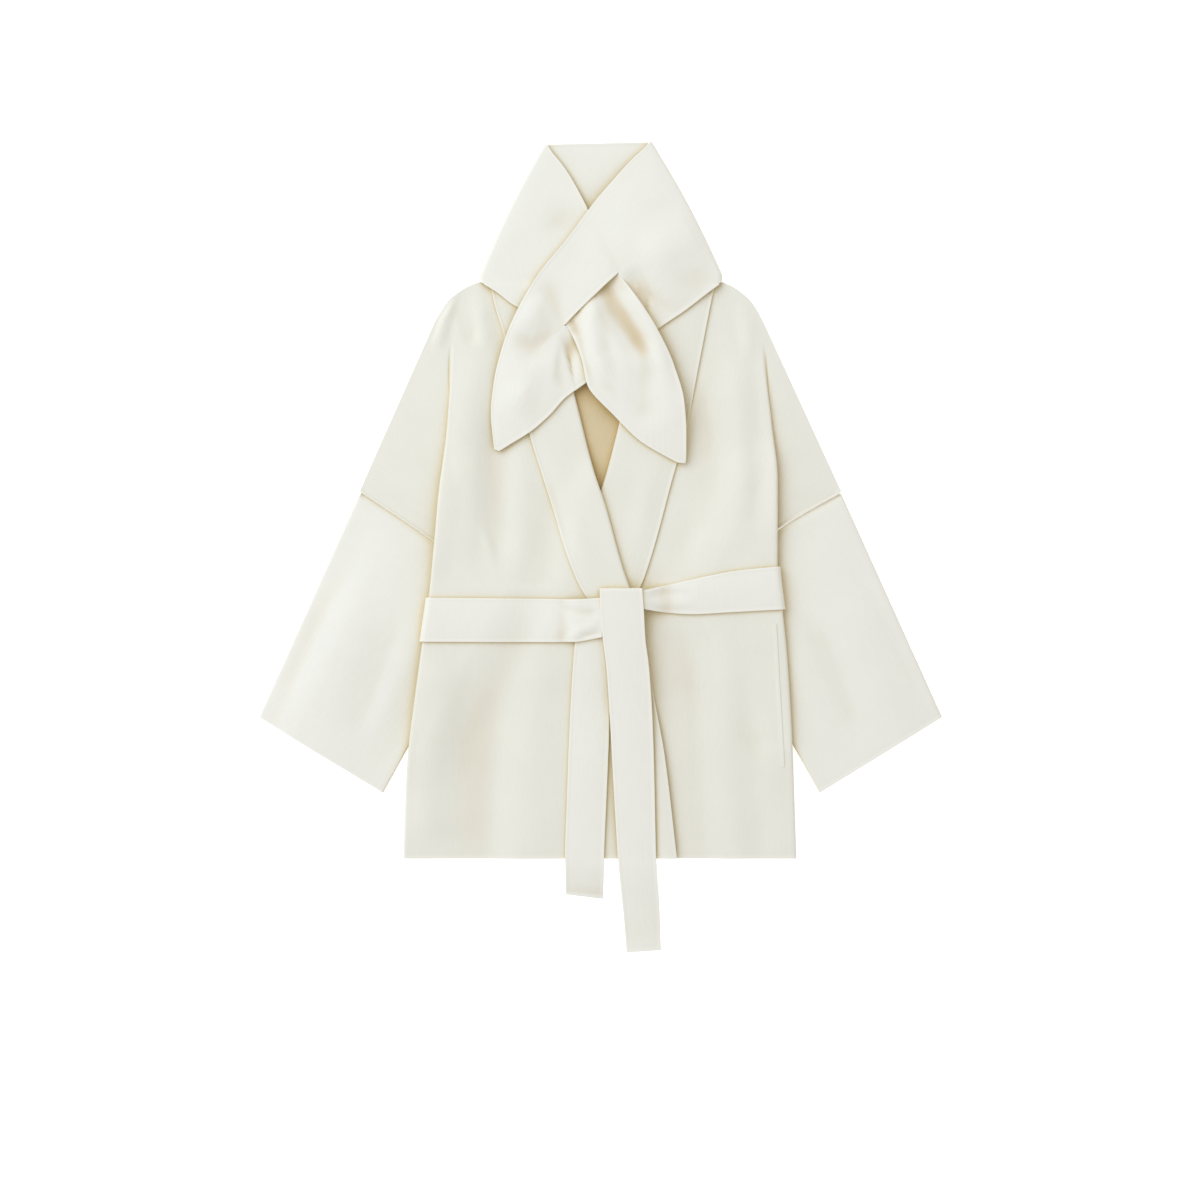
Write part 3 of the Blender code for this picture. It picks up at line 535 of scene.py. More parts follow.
def fold_share(y):
    """How far the side fold has formed, from none at the shoulder to all of it."""
    return soft(pleat_turn(y) / FORMED_TURN)


def pleat_depth(side, y):
    """How far the front's fold runs back under it."""
    if y >= UNDERARM_Y:
        return PLEAT_LEAST + PLEAT_DEPTH * max(0.0, (PLEAT_DEEPENS - y) / (PLEAT_DEEPENS - UNDERARM_Y))
    return side_fold[side](y) - FOLD_RADIUS - back_edge(side, y) + SIDE_LAP


def side_crest(side, y):
    """The mid height of a front at the top of its side fold."""
    if y < UNDERARM_Y:
        return crest_level(y) + BELT_RISE * under_belt(side, y)
    turn = pleat_turn(y)
    if turn > FULL_TURN:
        return FRONT_MID + 4 * fold_radius(y) + BELT_RISE * under_belt(side, y)
    return FRONT_MID + 2 * fold_radius(y) * (1 - math.cos(turn)) + pleat_depth(side, y) * math.sin(turn)


def belt_line(x):
    """The place along the coat of the belt's middle behind it."""
    return mix(BELT_MIDDLE[LEFT], BELT_MIDDLE[RIGHT], (x + BELT_SPAN / 2) / BELT_SPAN)


def rise_over_belt(x, y, beside, flat, slope):
    """The rise of cloth over the belt behind: full for a flat width past it, then sloping down."""
    away = abs(y - belt_line(x)) - BELT_HALF
    share = 1 - soft((abs(x) - BELT_BEHIND) / beside)
    return (BELT_CLOTH + LAY) * share * (1 - soft((away - flat) / slope))


def back_lift(x, y):
    """The back's rise over the belt that runs under it."""
    return rise_over_belt(x, y, beside=30, flat=14, slope=26)


def front_lift(x, y):
    """The fronts' rise over the belt behind, spread wider than the back's."""
    return rise_over_belt(x, y, beside=60, flat=10, slope=100)


def ridges(side, out, y):
    """The height that the broad ridges down a front add at a point; those at the hem run on past it."""
    height = 0.0
    for ridge in RIDGES:
        if ridge.side != side or not ridge.y_bottom - 1 <= y <= ridge.y_top:
            continue
        t = (ridge.y_top - y) / (ridge.y_top - ridge.y_bottom)
        middle = mix(ridge.out_top, ridge.out_bottom, t)
        ends = soft((ridge.y_top - y) / RIDGE_FADE)
        if ridge.y_bottom > HEM_Y:
            ends = min(ends, soft((y - ridge.y_bottom) / RIDGE_FADE))
        height += ridge.height * soft(1 - abs(out - middle) / (ridge.width / 2)) * ends
    return height


def panel_height(side, out, y):
    """The mid height of a front's main panel at a distance out from the centre."""
    fold = side_fold[side](y)
    inner = fold - FOLD_RADIUS - pleat_depth(side, y)
    share = SIDE_SHARE * soft((out - inner + SIDE_RAMP) / SIDE_RAMP)
    share += (1 - SIDE_SHARE) * soft((out - inner) / max(fold - inner, 1.0))
    height = mix(FRONT_MID + front_lift(side * out, y), side_crest(side, y), share)
    if side == LEFT:
        height += overlap_level(y) * soft((OVERLAP_WIDTH - roll_line(y) - out) / OVERLAP_SLOPE)
    height += ridges(side, out, y) + creases(FRONT_CREASES[side], side * out, y)
    height += creases(SHOULDER_CREASES[side], side * out, y) + unevenness(side * out, y, side)
    over_fold = side_crest(side, y) - 2 * fold_radius(y) + CLOTH + FOLD_CLEAR
    beside = soft((out - inner + FOLD_BESIDE) / FOLD_SLOPE) * fold_share(y)
    lowest = mix(FRONT_MID + front_lift(side * out, y) - TROUGH_LIMIT, over_fold, beside)
    return higher(height, lowest, TROUGH_LIMIT)


def front_edge(y):
    """Where a front's own edge lies, a little way inside the lapel's roll."""
    hidden = LAPEL_RISE / 2 + LAPEL_ROLL_OUT
    return roll_line(y) + hidden * soft((y - LAPEL_END + LAPEL_TURN) / LAPEL_TURN)


def stops(length, step, dense_start=False, dense_end=False):
    """Shares from 0 to 1 a step apart, closer beside an edge that is sewn."""
    near = (0.0, 0.8, 1.7, 2.8, 4.0, 5.4, 7.2)
    first = list(near) if dense_start else [0.0]
    last = [length - n for n in reversed(near)] if dense_end else [length]
    count = max(int((last[0] - first[-1]) / step), 1)
    middle = [mix(first[-1], last[0], k / count) for k in range(1, count)]
    return [s / length for s in first + middle + last]


def edge_to_edge(length, step):
    """Shares across a strip that is sewn along both its edges."""
    return stops(length, step, dense_start=True, dense_end=True)


def arc(out, z, turn_from, turn_to, radius, steps=8):
    """Points of a bend that starts heading at turn_from and ends at turn_to, bending down then back."""
    points = []
    swing = turn_to - turn_from
    chord = max(2 * radius * math.sin(abs(swing) / steps / 2), LEAST_BEND / steps)
    for k in range(steps):
        heading = turn_from + swing * (k + 0.5) / steps
        out += chord * math.cos(heading)
        z -= chord * math.sin(heading)
        points.append((out, z))
    return points


PANEL_STOPS = stops(length=330, step=4.6, dense_start=True)
SHOULDER_STOPS = stops(length=150, step=5.0, dense_end=True)


def shoulder_height(side, out, y, end):
    """The mid height of a front's shoulder part, whose creases die away at its outer edge."""
    crease = higher(creases(SHOULDER_CREASES[side], side * out, y), -TROUGH_LIMIT, TROUGH_LIMIT)
    return FRONT_MID + back_lift(side * (out - EASE), y) + crease * soft((end - out) / CREASE_END)


def smooth_shoulder(side, out, y, end):
    """The shoulder part where no fold parts it from the panel: it shares the panel's unevenness."""
    lie = unevenness(side * out, y, side) * soft((end - out) / LIE_END)
    return shoulder_height(side, out, y, end) + lie


def tucked_under(side, y, out, z, raised):
    """Below the underarm: the front comes back under itself and ends on the back's edge."""
    end = back_edge(side, y) - SIDE_LAP
    end_z = BACK_MID + CLOTH + LAY + back_lift(side * end, y)
    knee = min(end + SIDE_LAP + KNEE_LAP, out - KNEE_LEAST)
    knee_z = max(z - KNEE_FALL - raised, end_z)
    points = []
    for k in range(1, RETURN_STEPS):
        share = k / (RETURN_STEPS - 1)
        points.append((mix(out, knee, share), mix(z, knee_z, share)))
    points.append((end, end_z))
    return points


def front_section(side, y, shoulder):
    """The front across the coat at height y, as (out, z) points from its front edge round its side fold."""
    turn = pleat_turn(y)
    depth = pleat_depth(side, y)
    start = front_edge(y)
    bend_at = side_fold[side](y) - fold_radius(y) * math.sin(min(turn, math.pi / 2)) - CLOTH / 2
    outs = [mix(start, bend_at, share) for share in PANEL_STOPS]
    points = [(out, panel_height(side, out, y)) for out in outs]
    folded = fold_share(y)
    raised = folded * max(points[-1][1] - side_crest(side, y), 0.0)
    points += arc(*points[-1], 0.0, turn, fold_radius(y))
    out, z = points[-1]
    if not shoulder:
        return points + tucked_under(side, y, out, z, raised)
    for k in range(1, RETURN_STEPS + 1):
        share = k / RETURN_STEPS
        fall = depth * share * math.sin(turn) + raised * soft(share / RAISED_RUN)
        points.append((out + depth * share * math.cos(turn), z - fall))
    out, z = points[-1]
    end = outer_line(side, y) + SEAM_LAP
    low = shoulder_height(side, out, y, end)
    second = (z - low) / (1 - math.cos(turn)) if turn > LEAST_TURN else FOLD_RADIUS
    points += arc(out, z, turn, 0.0, second)
    out = points[-1][0]
    bend, bend_z = points[len(PANEL_STOPS) - 1]
    step = bend_z - smooth_shoulder(side, bend, y, end)

    def carried(at):
        return step * (1 - soft((at - bend) / CARRY))

    for k in range(len(PANEL_STOPS), len(points)):
        at, z = points[k]
        points[k] = (at, mix(smooth_shoulder(side, at, y, end) + carried(at), z, folded))
    seam = soft((SLEEVES[side].seam_out[1] + SEAM_RIDGE_START - y) / SEAM_RIDGE_START)
    for share in SHOULDER_STOPS[1:]:
        at = mix(out, end, share)
        fade = soft((end - at) / LIE_END)
        own = unevenness(side * at, y, side + 5) * soft((at - out) / CREASE_END) * fade
        smooth = smooth_shoulder(side, at, y, end) + carried(at) * fade
        z = mix(smooth, shoulder_height(side, at, y, end) + own, folded)
        ridge = SEAM_RIDGE * seam * soft((SEAM_RIDGE_WIDTH - end + at) / SEAM_RIDGE_SLOPE)
        points.append((at, z + ridge))
    return points


def risen(out, y):
    """The front's place along the coat: beside the neck the shoulder slopes up to the scarf."""
    near = min(max((RISE_OUT - out) / (RISE_OUT - RISE_FULL), 0.0), 1.0)
    return y + SHOULDER_RISE * near * soft((y - RISE_FROM) / (NECK_Y - RISE_FROM))


def scarf_seat(x, y):
    """The lowest mid height of a scarf half that lies on the fronts and lapels."""
    side = LEFT if x < 0 else RIGHT
    out = abs(x)
    inside = soft((out - roll_line(y) + SEAT_INSIDE) / SEAT_SLOPE) * soft((SEAT_TOP - y) / SEAT_SLOPE)
    if inside == 0.0:
        return 0.0
    rise = LAPEL_RISE * soft((lapel_edge[side](y) + LAPEL_BESIDE - out) / LAPEL_SLOPE)
    return inside * (panel_height(side, out, min(y, NECK_Y)) + rise + CLOTH + LAY)


def linear(hex_colour):
    """An sRGB hex colour as linear red, green and blue."""
    parts = [int(hex_colour[k : k + 2], 16) / 255 for k in (0, 2, 4)]
    return tuple(c / 12.92 if c <= 0.04045 else ((c + 0.055) / 1.055) ** 2.4 for c in parts)


def add_node(tree, kind, settings=None, links=None):
    """One node with its settings and its incoming links."""
    node = tree.nodes.new(kind)
    for key, value in (settings or {}).items():
        if isinstance(key, int) or key in node.inputs:
            node.inputs[key].default_value = value
        else:
            setattr(node, key, value)
    for key, source in (links or {}).items():
        tree.links.new(source, node.inputs[key])
    return node


class CoatCloth(bpy.types.PropertyGroup):
    """The wool of the coat."""

    wool: bpy.props.FloatVectorProperty(
        name="Wool",
        description="Colour of the brushed outer face",
        subtype="COLOR",
        default=linear("f2f1ea"),
    )
    # Painted shade: this colour darkens and warms the wool where the cloth sinks between folds.
    painted_trough_shade: bpy.props.FloatVectorProperty(
        name="Painted trough shade",
        description="Shade painted into the colour where the cloth sinks in a fold",
        subtype="COLOR",
        default=linear("e6d5b8"),
    )
    # Painted highlight: a paler colour along the sewn edges, for light caught by the fibres there.
    edge_highlight: bpy.props.FloatVectorProperty(
        name="Painted edge highlight",
        description="Highlight painted along the hand-sewn edges",
        subtype="COLOR",
        default=linear("f8f7f2"),
    )
    # Painted shade: a darker warm beige on the inside of the back, standing in for the shade in the neck
    # opening.
    painted_inside_shade: bpy.props.FloatVectorProperty(
        name="Painted inside shade",
        description="Shade painted on the inside of the back where it shows in the neck opening",
        subtype="COLOR",
        default=linear("e0d0ae"),
    )
    # Painted shade: this colour darkens and warms the wool in corners and crevices where layers close on
    # each other.
    occlusion_shade: bpy.props.FloatVectorProperty(
        name="Painted occlusion shade",
        description="Shade painted into the colour where layers close on each other",
        subtype="COLOR",
        default=linear("f1dfb4"),
    )
    streak_width: bpy.props.FloatProperty(
        name="Streak width", description="Width of a brushed streak of nap", default=0.0032, unit="LENGTH"
    )
    streak_length: bpy.props.FloatProperty(
        name="Streak length", description="Length of a brushed streak of nap", default=0.026, unit="LENGTH"
    )
    grain: bpy.props.FloatProperty(
        name="Grain", description="Size of a tuft of fibre", default=0.0016, unit="LENGTH"
    )
    edge_rise: bpy.props.FloatProperty(
        name="Edge rise",
        description="Height of the ridge along a sewn edge",
        default=0.00022,
        unit="LENGTH",
    )
    row_step: bpy.props.FloatProperty(
        name="Grid step", description="Distance between the points of a piece", default=0.005, unit="LENGTH"
    )


class CoatStage(bpy.types.PropertyGroup):
    """The floor, the lights and the camera."""

    floor: bpy.props.FloatVectorProperty(
        name="Floor", description="Colour of the floor", subtype="COLOR", default=linear("fafafa")
    )
    camera_height: bpy.props.FloatProperty(
        name="Camera height",
        description="Height of the camera above the floor",
        default=3.695,
        unit="LENGTH",
    )
    camera_x: bpy.props.FloatProperty(
        name="Camera X", description="Place of the camera across the coat", default=-0.0007, unit="LENGTH"
    )
    camera_y: bpy.props.FloatProperty(
        name="Camera Y", description="Place of the camera along the coat", default=-0.0689, unit="LENGTH"
    )
    lens: bpy.props.FloatProperty(name="Lens", description="Focal length in millimetres", default=85.0)
    key_power: bpy.props.FloatProperty(
        name="Key light",
        description="Power of the large light at the upper left",
        default=148.0,
        unit="POWER",
    )
    sky: bpy.props.FloatProperty(name="Sky", description="Strength of the even light", default=0.69)


def brushed_wool(name, turn=0.0, inner=False, cast=(1, 1, 1)):
    """Brushed double-faced wool: short cream fibres combed one way, which scatter light and shine at rims.

    A real fibre is a few hundredths of a millimetre wide, too fine to show, so the streaks and tufts are
    drawn as coarse as the picture needs.
    """
    cloth = bpy.context.scene.coat_cloth
    material = bpy.data.materials.new(name)
    material.use_nodes = True
    tree = material.node_tree
    shader = tree.nodes["Principled BSDF"]
    shader.inputs["Roughness"].default_value = 0.9
    shader.inputs["IOR"].default_value = 1.45
    shader.inputs["Specular IOR Level"].default_value = 0.2
    shader.inputs["Sheen Weight"].default_value = 0.22
    shader.inputs["Sheen Roughness"].default_value = 0.55
    shader.inputs["Sheen Tint"].default_value = (*linear("fffaf0"), 1)
    place = add_node(tree, "ShaderNodeUVMap", {"uv_map": "cloth"}).outputs["UV"]
    streak_scale = (1 / cloth.streak_width, 1 / cloth.streak_length, 1)
    combed = add_node(
        tree, "ShaderNodeMapping", {"Scale": streak_scale, "Rotation": (0, 0, turn)}, {"Vector": place}
    ).outputs[0]
    streaks = add_node(
        tree, "ShaderNodeTexNoise", {"Scale": 1.0, "Detail": 3.0, "Roughness": 0.6}, {"Vector": combed}
    ).outputs["Fac"]
    tufts = add_node(
        tree, "ShaderNodeTexNoise", {"Scale": 1 / cloth.grain, "Detail": 2.0}, {"Vector": place}
    ).outputs["Fac"]
    clouds = add_node(
        tree, "ShaderNodeTexNoise", {"Scale": 1 / CLOUD_SIZE, "Detail": 3.0}, {"Vector": place}
    ).outputs["Fac"]
    nap = add_node(
        tree, "ShaderNodeMix", {"data_type": "FLOAT", 0: 0.45}, {2: streaks, 3: tufts}
    ).outputs[0]
    tone = add_node(tree, "ShaderNodeMix", {"data_type": "FLOAT", 0: 0.35}, {2: nap, 3: clouds}).outputs[0]
    spread = add_node(
        tree,
        "ShaderNodeMapRange",
        {"From Min": 0.3, "From Max": 0.7, "To Min": 0.0, "To Max": 1.0},
        {"Value": tone},
    ).outputs[0]
    # Painted shade on the inside of the back: its own darker beige, with darker mottling than the outer
    # face.
    face_tone = cloth.painted_inside_shade if inner else cloth.wool
    # Painted shade: the face colour is multiplied by darkening factors, which shade the body's wool.
    light_tone = (*(c * shade for c, shade in zip(face_tone, cast)), 1)
    deep_share = 0.9 if inner else 0.945
    deep_tone = (*(c * deep_share for c in light_tone[:3]), 1)
    face = add_node(
        tree, "ShaderNodeMix", {"data_type": "RGBA", 6: deep_tone, 7: light_tone}, {0: spread}
    ).outputs[2]
    # Painted highlight along the sewn edges: the sewn attribute mixes in the edge highlight colour.
    edge = add_node(tree, "ShaderNodeAttribute", {"attribute_name": "sewn"}).outputs["Fac"]
    colour = add_node(
        tree, "ShaderNodeMix", {"data_type": "RGBA", 7: (*cloth.edge_highlight, 1)}, {0: edge, 6: face}
    ).outputs[2]
    # Painted shade from ambient occlusion: upward faces in corners and crevices are multiplied by the
    # occlusion shade colour.
    openness = add_node(tree, "ShaderNodeAmbientOcclusion", {"samples": 8, "Distance": 0.1}).outputs["AO"]
    occlusion_share = add_node(
        tree,
        "ShaderNodeMapRange",
        {
            "interpolation_type": "SMOOTHSTEP",
            "From Min": 1.0,
            "From Max": 0.45,
            "To Min": 0.0,
            "To Max": 0.9,
        },
        {"Value": openness},
    ).outputs[0]
    facing = add_node(tree, "ShaderNodeNewGeometry").outputs["Normal"]
    upward = add_node(tree, "ShaderNodeSeparateXYZ", links={0: facing}).outputs["Z"]
    depth = add_node(
        tree, "ShaderNodeMath", {"operation": "MULTIPLY", "use_clamp": True}, {0: occlusion_share, 1: upward}
    ).outputs[0]
    # Painted shade in the troughs: the colour is multiplied by the trough shade colour, by how far the
    # cloth sinks.
    sunk = add_node(tree, "ShaderNodeAttribute", {"attribute_name": "painted_trough_shade"}).outputs["Fac"]
    folded = add_node(
        tree,
        "ShaderNodeMix",
        {"data_type": "RGBA", "blend_type": "MULTIPLY", 7: (*cloth.painted_trough_shade, 1)},
        {0: sunk, 6: colour},
    ).outputs[2]
    occlusion_shaded = add_node(
        tree,
        "ShaderNodeMix",
        {"data_type": "RGBA", "blend_type": "MULTIPLY", 7: (*cloth.occlusion_shade, 1)},
        {0: depth, 6: folded},
    ).outputs[2]
    tree.links.new(occlusion_shaded, shader.inputs["Base Color"])
    bump = add_node(
        tree, "ShaderNodeBump", {"Strength": 0.5, "Distance": 0.0006}, {"Height": nap}
    ).outputs[0]
    tree.links.new(bump, shader.inputs["Normal"])
    return material


def wool(name, **options):
    """The wool of that name, made the first time it is asked for."""
    found = bpy.data.materials.get(name)
    return found or brushed_wool(name, **options)


def body_wool():
    # The body's wool, darkened with painted shade.
    return wool("brushed body wool, painted shade", cast=BODY_PAINTED_SHADE)


def along_profile(profile, gap):
    return soft((gap - profile.start) / profile.rise) * soft((profile.end - gap) / profile.fall)


def edge_rise(gap):
    """The ridge and the groove beside a sewn edge, as a share of the ridge's height."""
    return along_profile(EDGE_RIDGE, gap) - GROOVE_SHARE * along_profile(EDGE_GROOVE, gap)


def run_lengths(points):
    """The length run so far at each point of a line."""
    lengths = [0.0]
    for a, b in zip(points, points[1:]):
        lengths.append(lengths[-1] + math.dist(a, b))
    return lengths


def sag(before, here, after):
    """How far a point lies below the line between two others."""
    return (before[2] + after[2]) / 2 - here[2]


def painted_trough_shade(rows, j, i, reach, depth):
    """How far a point lies below the cloth on both sides of it, from 0 to 1: the share of shade painted
    into the colour there.
    """
    row = rows[j]
    across = min(reach, i, len(row) - 1 - i)
    along = min(reach, j, len(rows) - 1 - j)
    deepest = sag(row[i - across], row[i], row[i + across])
    above, below = rows[j - along], rows[j + along]
    if min(len(above), len(below)) > i:
        deepest = max(deepest, sag(above[i], row[i], below[i]))
    return soft(deepest / depth)


def cloth_mesh(rows, sewn=None, ring=False, reach=5, depth=7.0):
    """A grid of cloth on rows of points, with its flat lengths as UVs and its sewn edges raised, and with
    painted shade in its troughs and a painted highlight along its sewn edges kept as point attributes.

    Rows that are longer than others come first. sewn gives a point's gap from the nearest sewn edge, from
    its row and its gaps from the four edges of the grid.
    """
    rise = bpy.context.scene.coat_cloth.edge_rise / MM
    columns = max(len(row) for row in rows)
    bm = bmesh.new()
    flat = bm.loops.layers.uv.new("cloth")
    edge_highlight_layer = bm.verts.layers.float.new("sewn")
    trough_shade_layer = bm.verts.layers.float.new("painted_trough_shade")
    bmesh.ops.create_grid(bm, x_segments=columns - 1, y_segments=len(rows) - 1, size=0.5)
    across = [run_lengths(row) for row in rows]
    along = [run_lengths([row[i] for row in rows if len(row) > i]) for i in range(columns)]
    flat_places = {}
    spare = []
    for vert in bm.verts:
        i = round((vert.co.x + 0.5) * (columns - 1))
        j = round((0.5 - vert.co.y) * (len(rows) - 1))
        if i >= len(rows[j]):
            spare.append(vert)
            continue
        x, y, z = rows[j][i]
        # Painted shade: how far the point sinks between its neighbours, kept for the material to darken.
        vert[trough_shade_layer] = painted_trough_shade(rows, j, i, reach, depth)
        u = across[j][i]
        v = along[i][j]
        if sewn:
            gap = sewn(j, Gaps(u, across[j][-1] - u, v, along[i][-1] - v))
            z += rise * edge_rise(gap)
            # Painted highlight: the share of the edge highlight colour near a sewn edge.
            vert[edge_highlight_layer] = EDGE_HIGHLIGHT * soft((EDGE_HIGHLIGHT_WIDTH - gap) / EDGE_HIGHLIGHT_FADE)
        vert.co = Vector((x, y, z)) * MM
        flat_places[vert] = (u * MM, v * MM)
    bmesh.ops.delete(bm, geom=spare, context="VERTS")
    for face in bm.faces:
        for loop in face.loops:
            loop[flat].uv = flat_places[loop.vert]
    if ring:
        bmesh.ops.remove_doubles(bm, verts=bm.verts, dist=0.01 * MM)
    return bm


def cloth_piece(name, bm, material, thickness=CLOTH):
    """Thickens a grid of cloth to both sides and lets it stand for the solid of the same name."""
    bmesh.ops.recalc_face_normals(bm, faces=bm.faces)
    if sum(face.normal.z * face.calc_area() for face in bm.faces) < -1e-9:
        bmesh.ops.reverse_faces(bm, faces=bm.faces)
    mesh = bpy.data.meshes.new(name)
    bm.to_mesh(mesh)
    bm.free()
    mesh.materials.append(material)
    mesh.shade_smooth()
    piece = bpy.data.objects.new("wool_" + name, mesh)
    bpy.context.scene.collection.objects.link(piece)
    wall = piece.modifiers.new("cloth thickness", "SOLIDIFY")
    wall.thickness = thickness * MM
    wall.offset = 0.0
    wall.use_even_offset = False
    wall.use_quality_normals = True
    rim = piece.modifiers.new("soft rim", "BEVEL")
    rim.width = RIM_SHARE * thickness * MM
    rim.segments = 3
    rim.limit_method = "ANGLE"
    rim.angle_limit = math.radians(RIM_ANGLE)
    rim.harden_normals = True
    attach(piece, "root")
    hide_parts(name)
    return piece


def heights(top, bottom, step, dense_bottom=False):
    """Places down the coat from top to bottom, about a step apart."""
    return [mix(top, bottom, share) for share in stops(top - bottom, step, dense_end=dense_bottom)]


def step_mm():
    """The grid step that the user has set, in millimetres."""
    return bpy.context.scene.coat_cloth.row_step / MM


class COAT_OT_back(bpy.types.Operator):
    """One panel on the floor from the neck seam to the hem, which passes over the belt"""

    bl_idname = "coat.back"
    bl_label = "Back"

    def execute(self, context):
        rows = []
        step = 1.4 * step_mm()
        for y in heights(NECK_Y, HEM_Y, step, dense_bottom=True):
            left = -back_edge(LEFT, y)
            right = back_edge(RIGHT, y)
            row = []
            for share in stops(560, step):
                x = mix(left, right, share)
                lie = unevenness(x, y, 9.0, height=0.5)
                seam = BACK_SEAM_RISE * soft(1 - abs(x - BACK_SEAM_X) / BACK_SEAM_HALF)
                row.append((x, y, BACK_MID + back_lift(x, y) + max(lie, 0.0) + seam))
            rows.append(row)
        bm = cloth_mesh(rows, lambda j, gaps: gaps.bottom)
        # The back's upper face, seen in the neck opening, carries painted shade; its underside is the plain
        # wool.
        material = wool("brushed wool, painted inside shade", inner=True)
        piece = cloth_piece("back", bm, material)
        piece.data.materials.append(wool("brushed wool"))
        piece.modifiers["cloth thickness"].material_offset = 1
        return {"FINISHED"}


class COAT_OT_fronts(bpy.types.Operator):
    """The two fronts, folded over the sleeves at the sides, the left one on top"""

    bl_idname = "coat.fronts"
    bl_label = "Fronts"

    def execute(self, context):
        step = step_mm()
        ys = heights(NECK_Y, UNDERARM_Y, 0.8 * step)
        ys += heights(UNDERARM_Y, HEM_Y, step, dense_bottom=True)[1:]
        shoulder_rows = sum(y >= UNDERARM_Y for y in ys)
        for side, name in ((RIGHT, "front_right"), (LEFT, "front_left")):
            rows = []
            for y in ys:
                section = front_section(side, y, y >= UNDERARM_Y)
                rows.append([(side * out, risen(out, y), z) for out, z in section])

            def sewn(j, gaps):
                gap = gaps.bottom if j >= shoulder_rows else FAR
                if ys[j] < LAPEL_END:
                    gap = min(gap, gaps.start)
                return gap

            bm = cloth_mesh(rows, sewn, reach=10, depth=20.0)
            cloth_piece(name, bm, body_wool())
        return {"FINISHED"}


class COAT_OT_sleeves(bpy.types.Operator):
    """Straight sleeves: flattened tubes from the armhole seam to the open cuff"""

    bl_idname = "coat.sleeves"
    bl_label = "Sleeves"

    def execute(self, context):
        for side, name in ((LEFT, "sleeve_left"), (RIGHT, "sleeve_right")):
            rings = [self.ring(side, share) for share in edge_to_edge(312, step_mm())]
            bm = cloth_mesh(rings, lambda j, gaps: gaps.bottom, ring=True)
            cloth_piece(name, bm, wool("brushed wool"))
        return {"FINISHED"}

    def ring(self, side, share):
        """The points round the tube at a share of its length, from its outer fold under it and back."""
        sleeve = SLEEVES[side]
        radius = (FRONT_MID - BACK_MID) / 2
        inset = radius + CLOTH / 2
        outer = Vector((*sleeve.seam_out, 0)).lerp(Vector((*sleeve.cuff_out, 0)), share)
        inner = Vector((*sleeve.underarm, 0)).lerp(Vector((*sleeve.cuff_in, 0)), share)
        along = (inner - outer).normalized()
        a = outer + along * inset
        b = inner - along * inset
        puff = SLEEVE_PUFF[side] * soft(share / SLEEVE_PUFF_RUN)
        bow = Vector((along.y, -along.x, 0)) * (SLEEVE_BOW * sleeve.seam_bow * (1 - share) ** 3)
        gap = Vector(SLEEVE_SEAM_WAY).normalized() * 2 * SEAM * (1 - share) ** 6
        flat_steps = 36
        turn_steps = 6
        points = []
        for k in range(flat_steps + 1):
            t = k / flat_steps
            p = a.lerp(b, t) + bow * math.sin(math.pi * t)
            points.append((p.x, p.y, BACK_MID))
        for k in range(1, turn_steps):
            angle = -math.pi / 2 + math.pi * k / turn_steps
            p = b + along * (radius * math.cos(angle))
            points.append((p.x, p.y, BACK_MID + radius + radius * math.sin(angle)))
        for k in range(flat_steps + 1):
            t = k / flat_steps
            p = b.lerp(a, t) + bow * math.sin(math.pi * t)
            hump = along_profile(SLEEVE_HUMP, t)
            dip = SLEEVE_DIP * soft(1 - share / SLEEVE_DIP_RUN)
            lie = creases(SLEEVE_CREASES[side], side * p.x, p.y) + unevenness(side * p.x, p.y, 3.0 + side)
            lie = max(lie, -TROUGH_LIMIT) * soft(2.5 * hump) * soft(share / SLEEVE_LIE_RUN)
            points.append((p.x, p.y, FRONT_MID + puff * hump + lie - dip))
        for k in range(1, turn_steps + 1):
            angle = math.pi / 2 - math.pi * k / turn_steps
            p = a - along * (radius * math.cos(angle))
            points.append((p.x, p.y, BACK_MID + radius + radius * math.sin(angle)))
        return [(side * (x + gap.x), y + gap.y, z) for x, y, z in points]


class COAT_OT_lapels(bpy.types.Operator):
    """Turned-back lapels: the fronts' points moved up, rolled round the fronts' edges"""

    bl_idname = "coat.lapels"
    bl_label = "Lapels"

    def execute(self, context):
        radius = LAPEL_RISE / 2
        roll_steps = 9
        for side, name in ((RIGHT, "lapel_right"), (LEFT, "lapel_left")):
            rows = []
            for y in heights(NECK_Y, LAPEL_END, step_mm()):
                edge = roll_line(y) + radius + CLOTH / 2 - LAPEL_ROLL_OUT
                row = []
                for share in stops(80, step_mm(), dense_start=True):
                    out = mix(lapel_edge[side](y), edge, share)
                    lie = creases(LAPEL_CREASES[side], side * out, y)
                    rise = mix(CLOTH + LAPEL_CLEAR, LAPEL_RISE, soft(share / LAPEL_OPENS))
                    row.append((out, panel_height(side, out, y) + rise + lie))
                top = row[-1][1]
                for k in range(1, roll_steps + 1):
                    angle = math.pi / 2 + math.pi * k / roll_steps
                    row.append((edge + radius * math.cos(angle), top - radius + radius * math.sin(angle)))
                rows.append([(side * out, y, z) for out, z in row])
            bm = cloth_mesh(rows, lambda j, gaps: gaps.start)
            cloth_piece(name, bm, body_wool())
        return {"FINISHED"}


class ScarfCurve:
    """The sections of a scarf half, blended smoothly along its length."""

    def __init__(self, table):
        self.last = len(table) - 1
        self.curves = [smooth_curve(range(len(table)), column) for column in zip(*table)]

    def at(self, u):
        return Section(*(curve(u) for curve in self.curves))


def fold_away(section):
    """The direction out of a neck fold, square to it."""
    away = Vector((section.y2 - section.y1, section.x1 - section.x2, 0)).normalized()
    return away if away.x * (section.x1 + section.x2) > 0 else -away


def corner(share):
    """How far the lower end of a neck fold rounds in."""
    return CORNER_ROUND * soft((share - CORNER_FROM) / (1 - CORNER_FROM)) ** 2


